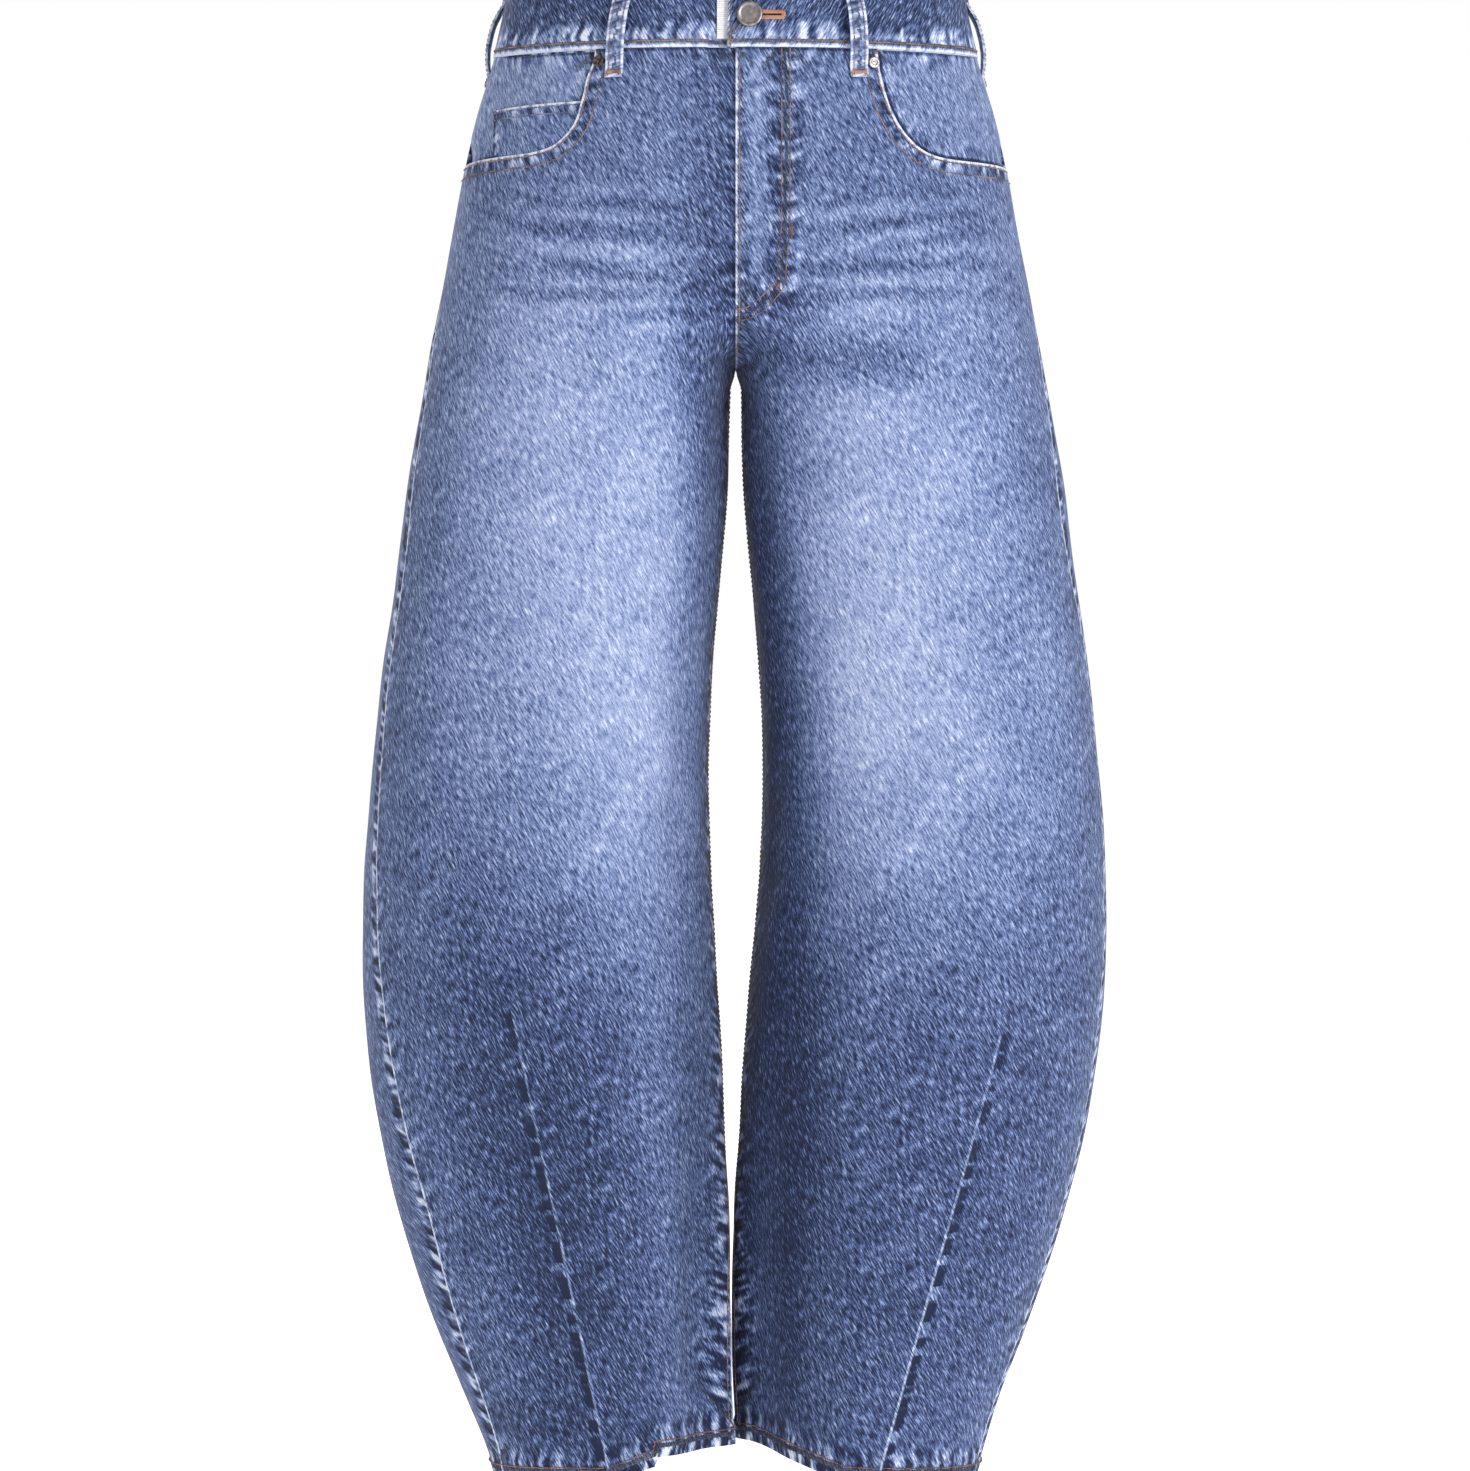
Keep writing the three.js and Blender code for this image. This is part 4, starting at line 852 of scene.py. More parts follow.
def cloth_mesh(name, half, turn, z, points, wall, seams, wash_and_shade=None, drop=None, flip=None):
    turned = half.sign < 0 if flip is None else flip
    quads = grid_quads(turn.shape, turned, drop)
    flat = points.reshape(-1, 3)
    used = np.unique(quads)
    renumber = np.zeros(len(flat), int)
    renumber[used] = np.arange(len(used))
    quads = renumber[quads]
    mesh = bpy.data.meshes.new(name)
    mesh.from_pydata((flat[used] * MM).tolist(), [], quads.tolist())
    mesh.polygons.foreach_set("use_smooth", np.ones(len(quads), bool))
    grain = grain_run(half, turn, z)
    weave = np.stack([grain * half.sign, z], axis=-1).reshape(-1, 2)[used] * MM
    layer = mesh.uv_layers.new(name="weave")
    corners = np.zeros(len(mesh.loops), int)
    mesh.loops.foreach_get("vertex_index", corners)
    layer.data.foreach_set("uv", weave[corners].ravel())
    pale = wash_and_shade_of(half, turn, z) if wash_and_shade is None else wash_and_shade
    pale = np.broadcast_to(pale, turn.shape).ravel()[used]
    keep_at_vertices(mesh, "wash_and_shade", pale)
    near = nearest_seam(flat[used], seams)
    keep_at_vertices(mesh, "seam", near[:, :3])
    keep_at_vertices(mesh, "rim_wear_and_shade", near[:, 3])
    if name.startswith("front"):
        top = DARTS[half.name][1]
        beyond = beyond_dart(half, turn, z)
        held = smooth(top - z, -6, 6) * lerp(0.75, 1.25, smooth(top - z, 40, 140)) * (turn < 1)
        darts = np.stack([beyond, top - z, held], axis=-1).reshape(-1, 3)
        keep_at_vertices(mesh, "dart", darts[used])
    made = add_object(name, mesh)
    area = sum(face.area for face in mesh.polygons)
    spans = np.linalg.norm(np.diff(points, axis=1), axis=2).sum(axis=1)
    drops = np.linalg.norm(np.diff(points, axis=0), axis=2).sum(axis=0)
    made["cut"] = [spans.max() * MM, drops.max() * MM, area]
    thicken = made.modifiers.new("wall", "SOLIDIFY")
    thicken.thickness = wall * MM
    thicken.offset = -1
    solid = settle(made)
    solid.name = name
    solid.set_sharp_from_angle(angle=math.radians(50))
    return made


def sew(piece, material, stands_for):
    """Gives a cloth piece its material, hangs it from the root, and hides the part that it stands for."""
    piece.data.materials.clear()
    piece.data.materials.append(material)
    del piece["cut"]
    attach(piece, "root")
    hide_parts(stands_for)


# Front pocket mouths, in the front view: distance from the centre plane and height.
MOUTHS = {
    "left": [(92, -20), (92, -47), (95, -63.5), (100.5, -81.5), (110.5, -98), (125, -109), (147.5, -112),
             (190, -110)],
    "right": [(91, -20), (91, -45.5), (96, -60.5), (99, -74), (104.5, -91), (116, -103), (129.5, -107.5),
              (150, -108.5), (190, -108.5)],
}
MOUTH_LOWEST = -128


def mouth_line(half, count=240):
    """Points along a pocket mouth, as x away from the centre plane and height."""
    table = np.array(MOUTHS[half.name], float)
    last = len(table) - 1
    share = np.linspace(0, last, count)
    i = np.minimum(share.astype(int), last - 1)
    t = (share - i)[:, None]
    p0 = table[np.maximum(i - 1, 0)]
    p1 = table[i]
    p2 = table[i + 1]
    p3 = table[np.minimum(i + 2, last)]
    start = (p2 - p0) / 2
    end = (p3 - p1) / 2
    return p1 + t * (start + t * (3 * (p2 - p1) - 2 * start - end + t * (start + end - 2 * (p2 - p1))))


def beside(line, distance):
    """The same line, moved to its lower inner side by a distance."""
    along = np.gradient(line, axis=0)
    along /= np.linalg.norm(along, axis=1, keepdims=True)
    return line + np.stack([along[:, 1], -along[:, 0]], axis=1) * distance


def mouth_cut(half, turn, z):
    """Slides the grid's points beside the mouth onto it. Also gives the points that are cut away."""
    line = mouth_line(half, 600)
    x = np.abs(form(half, turn, z)[..., 0])
    window = (z > MOUTH_LOWEST) & (turn > 0.1)
    gone = np.zeros(turn.shape, bool)
    nearest = np.zeros(turn.shape, int)
    chosen = np.argwhere(window)
    for i, j in chosen:
        offsets = line - (x[i, j], z[i, j])
        k = int(np.argmin((offsets**2).sum(axis=1)))
        nearest[i, j] = k
        a = line[max(k - 1, 0)]
        b = line[min(k + 1, len(line) - 1)]
        gone[i, j] = (b[0] - a[0]) * (z[i, j] - a[1]) - (b[1] - a[1]) * (x[i, j] - a[0]) > 0
    kept = np.pad(~gone, 1)
    kept_near = np.zeros(turn.shape, bool)
    for di in (0, 1, 2):
        for dj in (0, 1, 2):
            kept_near |= kept[di : di + turn.shape[0], dj : dj + turn.shape[1]]
    edge = gone & kept_near & window
    new_x = line[nearest[edge], 0] * half.sign
    new_z = line[nearest[edge], 1]
    turn = turn.copy()
    z = z.copy()
    turn[edge] = turn_at_x(half, new_x, new_z)
    z[edge] = new_z
    return turn, z, gone & ~edge


# The double row that holds the fly facing, in the front view: down beside the fly, then in to its foot.
FLY_ROUTES = [
    [(29.6, -44), (29.6, -100), (29.4, -158), (26.2, -194), (14.5, -205.5), (5.6, -211), (1.8, -210.6)],
    [(35.0, -44), (35.0, -100), (34.6, -161), (31.2, -198.5), (19, -212), (7.4, -217.6), (1.8, -217.4)],
]


def route_points(route, count):
    """Points on a smooth line through a route's places."""
    table = np.array(route, float)
    lengths = np.concatenate([[0], np.cumsum(np.linalg.norm(np.diff(table, axis=0), axis=1))])
    share = np.linspace(0, lengths[-1], count)
    rounded = [np.interp(share, lengths, table[:, k]) for k in (0, 1)]
    kernel = np.hanning(13)[1:-1] / np.hanning(13)[1:-1].sum()
    return [np.convolve(np.pad(values, 5, mode="reflect", reflect_type="odd"), kernel, "valid")
            for values in rounded]


def front_seams(half):
    """The seams and sewn lines of one front."""
    hip = np.linspace(-42.5, CROTCH, 130)
    leg = np.linspace(CROTCH, HEM_INSEAM, 460)
    down = np.linspace(-108, -970, 560)
    across = np.linspace(0.0, 0.9, 240)
    line = mouth_line(half)
    hem = hem_line(half, across)
    seams = [
        # On the right front the centre seam's edge, under the fly, is darkened with a painted shadow.
        (seam_line(half, np.zeros(130), hip), 0.4, 1.7 if half is LEFT else -0.8),
        (seam_line(half, np.zeros(460), leg), 1.5, 1.3, 2.8),
        (seam_line(half, outseam(half, down), down), 0.6, 2.1),
        (seam_line(half, turn_at_x(half, line[:, 0] * half.sign, line[:, 1]), line[:, 1]), 1.1, 2.2),
        # The edge below the waistband is darkened with a painted shadow.
        (seam_line(half, across, waist_seam(across)), 0.5, -0.9),
        (seam_line(half, across, hem), 2.4, 0.3),
        (seam_line(half, across, hem + HEM_HEIGHT), 1.2, 0.3),
    ]
    if half is LEFT:
        for route in FLY_ROUTES:
            x, level = route_points(route, 120)
            seams.append((seam_line(half, turn_at_x(half, x, level), level), 0.8, 0))
    return seams


def front_panel(half):
    def near(level):
        if half is LEFT:
            return np.zeros(level.shape)
        return turn_at_x(half, FLY_UNDERLAP, level) * smooth(level, FLY_BOTTOM, FLY_BOTTOM + 14)

    stops = [near, lambda level: dart_turn(half, level), lambda level: outseam(half, level)]
    turn, z = leg_grid(half, panel_levels(FRONT_CURVE), stops, [78, 36], waist_seam)
    turn, z, gone = mouth_cut(half, turn, z)
    lift = fly_lift(half, turn, z) + hem_lift(half, turn, z)
    ridge = DART_RIDGE * smooth(DARTS[half.name][1] - z, 0, DART_RISE)
    lift = lift + ridge * np.exp(-((beyond_dart(half, turn, z) / DART_WIDTH) ** 2))
    points = lifted(half, turn, z, lift)
    points = trimmed(half, turn, z, points)
    name = f"front_{half.name}_cloth"
    piece = cloth_mesh(name, half, turn, z, points, DENIM, front_seams(half), drop=gone)
    sew(piece, WASHED_DENIM, f"front_{half.name}")


# The seat seam is sewn shut, so no light comes through it.
CENTRE_GAP = 0.02


def trimmed(half, turn, z, points):
    """Keeps a panel's side edges clear of the next panel, and closes the seam between the halves."""
    for j, other in ((0, 1), (-1, -2)):
        inward = points[:, other] - points[:, j]
        inward /= np.maximum(np.linalg.norm(inward, axis=1, keepdims=True), 1e-6)
        seam = (turn[:, j] <= 1e-6) & (turn[:, j] >= -1e-6) | (turn[:, j] >= 1.9999)
        points[:, j] += np.where(seam[:, None], 0, inward * SEAM_GAP / 2)
        level = z[:, j]
        upper = seam & (level > CROTCH - 0.01)
        lower = seam & (level < CROTCH + 0.01)
        points[:, j, 0] = np.where(upper, half.sign * CENTRE_GAP / 2, points[:, j, 0])
        gap = np.where(turn[:, j] < 1, -SEAM_GAP, SEAM_GAP) / 2
        points[:, j, 1] = np.where(lower, half.inseam(level) + gap, points[:, j, 1])
    return points


for half in (LEFT, RIGHT):
    front_panel(half)


# Pocket facings. A denim facing shows inside each front pocket mouth. It is sewn into the waist seam and
# the outseam, and lies behind the front.
POCKET_RECESS = 0.7
COIN_WALL = 1.2
MOUTH_END = -110
FACING_TUCK = 16
FACING_EDGE = 82
FACING_PALE = {"left": 0.53, "right": 0.59}


def facing_seams(half, behind):
    across = np.linspace(0.1, 0.99, 200)
    down = np.linspace(-25, -124, 80)
    line = beside(mouth_line(half), -1.5)
    mouth = turn_at_x(half, line[:, 0] * half.sign, line[:, 1])
    return [
        # The facing's edge under the waistband and its edge behind the pocket mouth are darkened with
        # painted shadow.
        (seam_line(half, across, waist_seam(across), -behind), 0.6, -0.9),
        (seam_line(half, np.full(80, 0.995), down), 0.8, 0.6),
        (seam_line(half, mouth, line[:, 1], -behind), 0.5, -1.8),
    ]


def pocket_facing(half):
    behind = DENIM + POCKET_RECESS + (COIN_WALL + 1 if half is RIGHT else 0)
    shares = np.linspace(0, 1, 34)[:, None]
    z = np.zeros((34, 44))
    for _ in range(3):
        first = run_of(half, turn_at_x(half, half.sign * FACING_EDGE, z), z)
        last = run_of(half, outseam(half, z), z)
        turn = turn_of(half, lerp(first, last, np.linspace(0, 1, 44)[None, :]), z)
        z = lerp(waist_seam(turn), MOUTH_END - FACING_TUCK, shares)
    forward = smooth(turn, 0.84, 0.97) * smooth(z, MOUTH_END + 3, MOUTH_END + 22)
    points = lifted(half, turn, z, lerp(-behind, 0, forward))
    points[:, -1] += (points[:, -2] - points[:, -1]) * 0.06
    pale = FACING_PALE[half.name] - 0.06 * smooth(-z, 70, 110)
    seams = facing_seams(half, behind)
    piece = cloth_mesh(f"pocket_facing_{half.name}_cloth", half, turn, z, points, DENIM, seams, wash_and_shade=pale)
    sew(piece, WASHED_DENIM, f"pocket_facing_{half.name}")


for half in (LEFT, RIGHT):
    pocket_facing(half)


# Coin pocket. A small patch pocket of the same denim inside the right pocket mouth, with a turned and
# twice stitched top edge.
COIN_TOP = -75
COIN_LEFT = -160
COIN_RIGHT = -97


def coin_pocket():
    shares = np.linspace(0, 1, 18)[:, None]
    z = lerp(COIN_TOP, MOUTH_END - FACING_TUCK + 4, shares) + np.zeros((1, 30))
    first = turn_at_x(RIGHT, COIN_RIGHT + 0 * z, z)
    last = turn_at_x(RIGHT, COIN_LEFT + 0 * z, z)
    spread = lerp(run_of(RIGHT, first, z), run_of(RIGHT, last, z), np.linspace(0, 1, 30)[None, :])
    turn = turn_of(RIGHT, spread, z)
    points = lifted(RIGHT, turn, z, np.full(z.shape, -DENIM - POCKET_RECESS))
    # The pocket's outer side edge is darkened with painted shade.
    seams = [(points[0], 1.0, 2.0), (points[:, -1], 1.0, -0.9)]
    pale = np.full(z.shape, 0.5)
    piece = cloth_mesh("coin_pocket_cloth", RIGHT, turn, z, points, COIN_WALL, seams, wash_and_shade=pale)
    sew(piece, WASHED_DENIM, "coin_pocket")


coin_pocket()


# Fly facing and fly shield. The facing backs the left front's edge, and the shield lies behind both
# fronts. The zip between them is closed and out of sight.
FACING_FROM = 8
FACING_TO = 34
FACING_WALL = 1.2
SHIELD_FROM = -14
SHIELD_BACK = 4.4


def fly_strip(name, begin, end, behind, stands_for):
    shares = np.linspace(0, 1, 50)[:, None]
    z = lerp(-42.5, CROTCH + FRONT_CURVE - 2, shares) + np.zeros((1, 9))
    narrow = np.sqrt(1 - smooth(-z, 150, -FLY_BOTTOM) ** 2 * 0.96)
    last = begin + (end - begin) * narrow
    turn = turn_at_x(LEFT, lerp(begin, last, np.linspace(0, 1, 9)[None, :]), z)
    points = lifted(LEFT, turn, z, np.full(z.shape, -float(behind)))
    pale = np.full(z.shape, 0.4)
    piece = cloth_mesh(name, LEFT, turn, z, points, FACING_WALL, [(points[:, 0], 0.5, 0)], wash_and_shade=pale)
    sew(piece, WASHED_DENIM, stands_for)


fly_strip("fly_facing_cloth", FACING_FROM, FACING_TO, DENIM + 0.5, "fly_facing")
fly_strip("fly_shield_cloth", SHIELD_FROM, FACING_TO, SHIELD_BACK, "fly_shield")


# Backs. Two panels that meet at the seat seam, wide over the seat, and joined to the fronts at the
# outseams and inseams.
def back_seams(half):
    seat = np.linspace(YOKE_SIDE, CROTCH, 120)
    leg = np.linspace(CROTCH, HEM_INSEAM, 460)
    down = np.linspace(YOKE_SIDE, -970, 580)
    across = np.linspace(0.85, 2.0, 300)
    hem = hem_line(half, across)
    return [
        (seam_line(half, np.full(120, 2.0), seat), 0.9, 0.8),
        (seam_line(half, np.full(460, 2.0), leg), 1.5, 0.9, 1.6),
        (seam_line(half, outseam(half, down), down), 1.8, 0.1),
        (seam_line(half, across, yoke_seam(across)), 1.1, 0.8),
        (seam_line(half, across, hem), 2.0, 0.3),
        (seam_line(half, across, hem + HEM_HEIGHT), 1.1, 0.3),
    ]


def back_panel(half):
    def top(turn):
        return yoke_seam(turn) - SEAM_GAP

    stops = [lambda level: outseam(half, level), lambda level: 2.0 + 0 * level]
    turn, z = leg_grid(half, panel_levels(BACK_CURVE), stops, [120], top)
    points = trimmed(half, turn, z, lifted(half, turn, z, hem_lift(half, turn, z)))
    piece = cloth_mesh(f"back_{half.name}_cloth", half, turn, z, points, DENIM, back_seams(half))
    sew(piece, WASHED_DENIM, f"back_{half.name}")


for half in (LEFT, RIGHT):
    back_panel(half)


# Yokes. A shaped strip across each half of the back, between the waistband and the back panel, lapped
# and stitched twice along its lower seam.
def yoke(half):
    shares = np.linspace(0, 1, 16)[:, None]
    z = np.zeros((16, 100))
    for _ in range(3):
        first = run_of(half, outseam(half, z), z)
        last = run_of(half, 2.0 + 0 * z, z)
        turn = turn_of(half, lerp(first, last, np.linspace(0, 1, 100)[None, :]), z)
        z = lerp(waist_seam(turn), yoke_seam(turn), shares)
    points = trimmed(half, turn, z, lifted(half, turn, z, np.zeros(z.shape)))
    across = np.linspace(0.9, 2, 240)
    side = np.linspace(-25, -70, 30)
    seams = [
        (seam_line(half, across, yoke_seam(across)), 0.8, 0.5),
        # The edge below the waistband is darkened with a painted shadow.
        (seam_line(half, across, waist_seam(across)), 0.6, -0.8),
        (seam_line(half, outseam(half, side), side), 0.8, 0.7),
        (seam_line(half, np.full(30, 2.0), np.linspace(-24, YOKE_MIDDLE, 30)), 0.9, 0.8),
    ]
    piece = cloth_mesh(f"yoke_{half.name}_cloth", half, turn, z, points, DENIM, seams)
    sew(piece, WASHED_DENIM, f"yoke_{half.name}")


for half in (LEFT, RIGHT):
    yoke(half)


# Back pockets. Plain patch pockets with a shallow point at the foot, a turned top edge, and a double
# row of stitches along the other edges.
POCKET_TOP = -112
POCKET_LEAN = 12
POCKET_HEIGHT = 124
POCKET_POINT = 20
POCKET_WIDTH = 140
POCKET_FOOT_WIDTH = 118
POCKET_MIDDLE = 100
POCKET_STANDOFF = 0.7
POCKET_LIFT = POCKET_STANDOFF + DENIM


def pocket_place(half, across, down):
    """Way round and height on a back pocket: across runs -1 to 1 from the outer edge, down 0 to 1."""
    across, down = np.broadcast_arrays(across, down)
    foot = POCKET_TOP - POCKET_HEIGHT + POCKET_POINT * np.abs(across)
    z = lerp(POCKET_TOP, foot, down) - (POCKET_LEAN / 2) * (across - 1)
    width = lerp(POCKET_WIDTH, POCKET_FOOT_WIDTH, down) / 2
    low = np.ones(z.shape)
    high = np.full(z.shape, 2.0)
    for _ in range(24):
        middle = (low + high) / 2
        beyond = half.sign * form(half, middle, z)[..., 0] > POCKET_MIDDLE
        low = np.where(beyond, middle, low)
        high = np.where(beyond, high, middle)
    return moved(half, (low + high) / 2, z, across * width), z


def pocket_edge(half, inset):
    """Places along a line that runs down one side, round the foot and up the other side of a pocket."""
    side = 1 - inset / (POCKET_FOOT_WIDTH / 2 + 3)
    foot = 1 - inset / (POCKET_HEIGHT - 8)
    down = np.linspace(0.005, foot, 60)
    bottom = np.linspace(-side, side, 80)
    across = np.concatenate([np.full(60, -side), bottom[1:-1], np.full(60, side)])
    depth = np.concatenate([down, np.full(78, foot), down[::-1]])
    return pocket_place(half, across, depth)


def back_pocket(half):
    across = np.linspace(-1, 1, 46)[None, :]
    down = np.linspace(0, 1, 44)[:, None]
    turn, z = pocket_place(half, across, down)
    points = lifted(half, turn, z, np.full(z.shape, POCKET_LIFT))
    top = pocket_place(half, np.linspace(-1, 1, 80), np.full(80, 0.005))
    seams = [(lifted(half, *pocket_edge(half, 0), np.full(198, POCKET_LIFT)), 0.9, 1.0)]
    seams.append((lifted(half, *top, np.full(80, POCKET_LIFT)), 0.7, 1.2))
    pale = 0.5 + 0.1 * (1 - across**2) * smooth(down, 0.1, 0.6)
    piece = cloth_mesh(f"back_pocket_{half.name}_cloth", half, turn, z, points, DENIM, seams, wash_and_shade=pale)
    sew(piece, WASHED_DENIM, f"back_pocket_{half.name}")


for half in (LEFT, RIGHT):
    back_pocket(half)


# Waistband. A straight band of the same denim, folded double over an interlining, which takes in the
# tops of all the panels. Its ends lap at the centre front, with a keyhole buttonhole in the upper one.
BAND_WALL = 3
BAND_PROUD = 0.8
BAND_END = -5
BAND_UNDERLAP = 31
BAND_BACK = 4.2
BUTTON_X = 9
BUTTON_Z = -21
HOLE_END = 30
HOLE_WIDTH = 2
TAB_LEFT = -12
TAB_RIGHT = 3
BAND_ROWS = 17
BAND_ROPED_ROW = 13


def band_stations(count):
    """Halves and ways round from the underlapping right end, round the back, to the left end."""
    level = BAND_MIDDLE
    first = float(turn_at_x(RIGHT, BAND_UNDERLAP, level))
    end = float(turn_at_x(LEFT, BAND_END, level))
    right_runs = np.linspace(run_of(RIGHT, first, level), run_of(RIGHT, 2.0, level), count)
    left_runs = np.linspace(run_of(LEFT, 2.0, level), run_of(LEFT, end, level), count)
    right = turn_of(RIGHT, right_runs, level)
    left = turn_of(LEFT, left_runs, level)
    return right, left[1:]


def band_points(half, turn, down, off):
    """Points on the waistband: down runs 0 to 1 from its top edge, and off is out from its face."""
    z = waist_rise(turn) - down * BAND_HEIGHT
    x = form(half, turn, z)[..., 0]
    if half is LEFT:
        step = np.where(turn < 1, FLY_PROUD * smooth(-x, *FLY_EASE), 0)
    else:
        step = np.where(turn < 1, -BAND_BACK * smooth(x, TAB_LEFT - 9, TAB_LEFT - 1.5), 0)
    return lifted(half, turn, z, BAND_PROUD + step + off), z


def cloth_frame(half, turn, z, lift):
    """Origin and three axes on the cloth: to the image's right, up, and outward."""
    out = outward(form, half, turn, z)
    right = np.cross([0, 0, 1.0], out)
    right /= np.linalg.norm(right)
    up = np.cross(out, right)
    return lifted(half, turn, z, lift), right, up, out


BUTTON_FRAME = cloth_frame(LEFT, turn_at_x(LEFT, BUTTON_X, BUTTON_Z), BUTTON_Z, 0.0)


def framed(place, points):
    """Points given on a frame's own axes, in the garment's space."""
    origin, right, up, out = place
    return origin + points[:, :1] * right + points[:, 1:2] * up + points[:, 2:] * out


def hole_outline(grow):
    """The keyhole's outline beside the button, on the button's own frame."""
    eye = 3.8 + grow
    half_slot = HOLE_WIDTH / 2 + grow
    begin = math.asin(half_slot / eye)
    angles = np.linspace(begin, 2 * math.pi - begin, 30)
    round_eye = np.stack([np.cos(angles) * eye, np.sin(angles) * eye], axis=1)
    far = HOLE_END - BUTTON_X + grow
    ends = np.array([[far, -half_slot], [far, half_slot]])
    return np.concatenate([round_eye, ends])


def waistband():
    right, left = band_stations(168)
    down = np.linspace(0, 1, BAND_ROWS)[:, None]
    right_turns = np.broadcast_to(right, (BAND_ROWS, len(right)))
    left_turns = np.broadcast_to(left, (BAND_ROWS, len(left)))
    right_points, right_z = band_points(RIGHT, right_turns, down, 0.0)
    left_points, left_z = band_points(LEFT, left_turns, down, 0.0)
    points = np.concatenate([right_points, left_points], axis=1)
    z = np.concatenate([right_z, left_z], axis=1)
    turn = np.broadcast_to(np.concatenate([right, left]), z.shape)
    seams = [(points[0], 0.4, 0.5), (points[-1], 0.5, 1.6), (points[:, -1], 0.8, 1.2)]
    seams.append((points[BAND_ROPED_ROW], 1.2, 0.0))
    streak = np.sin(np.linspace(0, 41, points.shape[1]))[None, :] * 0.035
    pale = 0.29 + 0.3 * smooth(down, 0.5, 0.78) + streak
    piece = cloth_mesh("waistband_cloth", RIGHT, turn, z, points, BAND_WALL, seams, wash_and_shade=pale, flip=True)
    outline = hole_outline(0.0)
    count = len(outline)
    tube = []
    for depth in (-4.0, 4.0):
        tube.append(framed(BUTTON_FRAME, np.column_stack([outline, np.full(count, depth)])))
    faces = [[i, (i + 1) % count, count + (i + 1) % count, count + i] for i in range(count)]
    faces.append(list(range(count))[::-1])
    faces.append(list(range(count, 2 * count)))
    cutter_mesh = bpy.data.meshes.new("buttonhole_cutter")
    cutter_mesh.from_pydata((np.concatenate(tube) * MM).tolist(), [], faces)
    cutter = add_object("buttonhole_cutter", cutter_mesh)
    cut = piece.modifiers.new("buttonhole", "BOOLEAN")
    cut.operation = "DIFFERENCE"
    cut.solver = "EXACT"
    cut.object = cutter
    settle(piece)
    bpy.data.objects.remove(cutter)
    sew(piece, WAISTBAND_DENIM, "waistband")


WAISTBAND_DENIM = denim_material("waistband_denim", -0.03, 1.4)
waistband()


# Belt loops. Narrow strips folded in three, with a row of stitches along each edge and a bartack at the
# top and foot. The front pair lean a little, and each stands off the waistband between its ends.
LOOP_WIDTH = 12
LOOP_WALL = 1.8
LOOP_LENGTH = 61
LOOP_BOW = 5.2
LOOPS = [
    ("front_left", LEFT, 75, 79.5, None),
    ("front_right", RIGHT, -71, -78.5, None),
    ("side_left", LEFT, None, None, 1.03),
    ("side_right", RIGHT, None, None, 1.03),
    ("back", LEFT, None, None, 2.0),
]
LOOP_PATH = [
    (0, 0.5 + BAND_PROUD),
    (0.1, 0.5 + BAND_PROUD),
    (0.2, BAND_PROUD + LOOP_BOW * 0.55),
    (0.35, BAND_PROUD + LOOP_BOW),
    (0.6, BAND_PROUD + LOOP_BOW),
    (0.78, BAND_PROUD + LOOP_BOW * 0.5),
    (0.88, 0.7),
    (1, 0.5),
]
LOOP_HEIGHT = table_curve([(-down, off) for down, off in LOOP_PATH], 1)


def loop_points(loop, down, across, off):
    """Points on a belt loop: down 0 to 1, across in millimetres, off out from its under side."""
    name, half, top, foot, fixed = loop
    near = fixed if fixed is not None else float(turn_at_x(half, top, 0.0))
    level = float(waist_rise(near)) - 0.5 - down * LOOP_LENGTH
    if fixed is None:
        turn = float(turn_at_x(half, lerp(top, foot, down), level))
    else:
        turn = min(fixed, 1.999)
    place = cloth_frame(half, turn, level, 0.0)
    rise = float(LOOP_HEIGHT(np.array(-down, float))) + off
    spots = np.stack([across, np.zeros(len(across)), rise * np.ones(len(across))], axis=1)
    return framed(place, spots), place[3]


def belt_loop(loop):
    across = np.linspace(-0.5, 0.5, 9) * LOOP_WIDTH
    downs = np.linspace(0, 1, 42)
    rounded = LOOP_WALL - 0.5 * smooth(np.abs(across), LOOP_WIDTH * 0.36, LOOP_WIDTH * 0.5)
    points = np.stack([loop_points(loop, down, across, 0)[0] for down in downs])
    outs = np.stack([loop_points(loop, down, across, 0)[1] for down in downs])
    points = points + outs[:, None, :] * rounded[None, :, None]
    seams = [(points[:, 0], 0.9, 1.4), (points[:, -1], 0.9, 1.4), (points[-1], 0.3, 1.0)]
    z = points[..., 2]
    turn = np.broadcast_to(across / 200 + 0.3, z.shape)
    pale = 0.54 + 0.06 * (1 - (across / 6) ** 2)[None, :] - 0.1 * smooth(downs, 0.3, 0)[:, None]
    name = f"belt_loop_{loop[0]}"
    wall = LOOP_WALL - 0.6
    piece = cloth_mesh(f"{name}_cloth", RIGHT, turn, z, points, wall, seams, wash_and_shade=pale, flip=False)
    sew(piece, WASHED_DENIM, name)


for loop in LOOPS:
    belt_loop(loop)


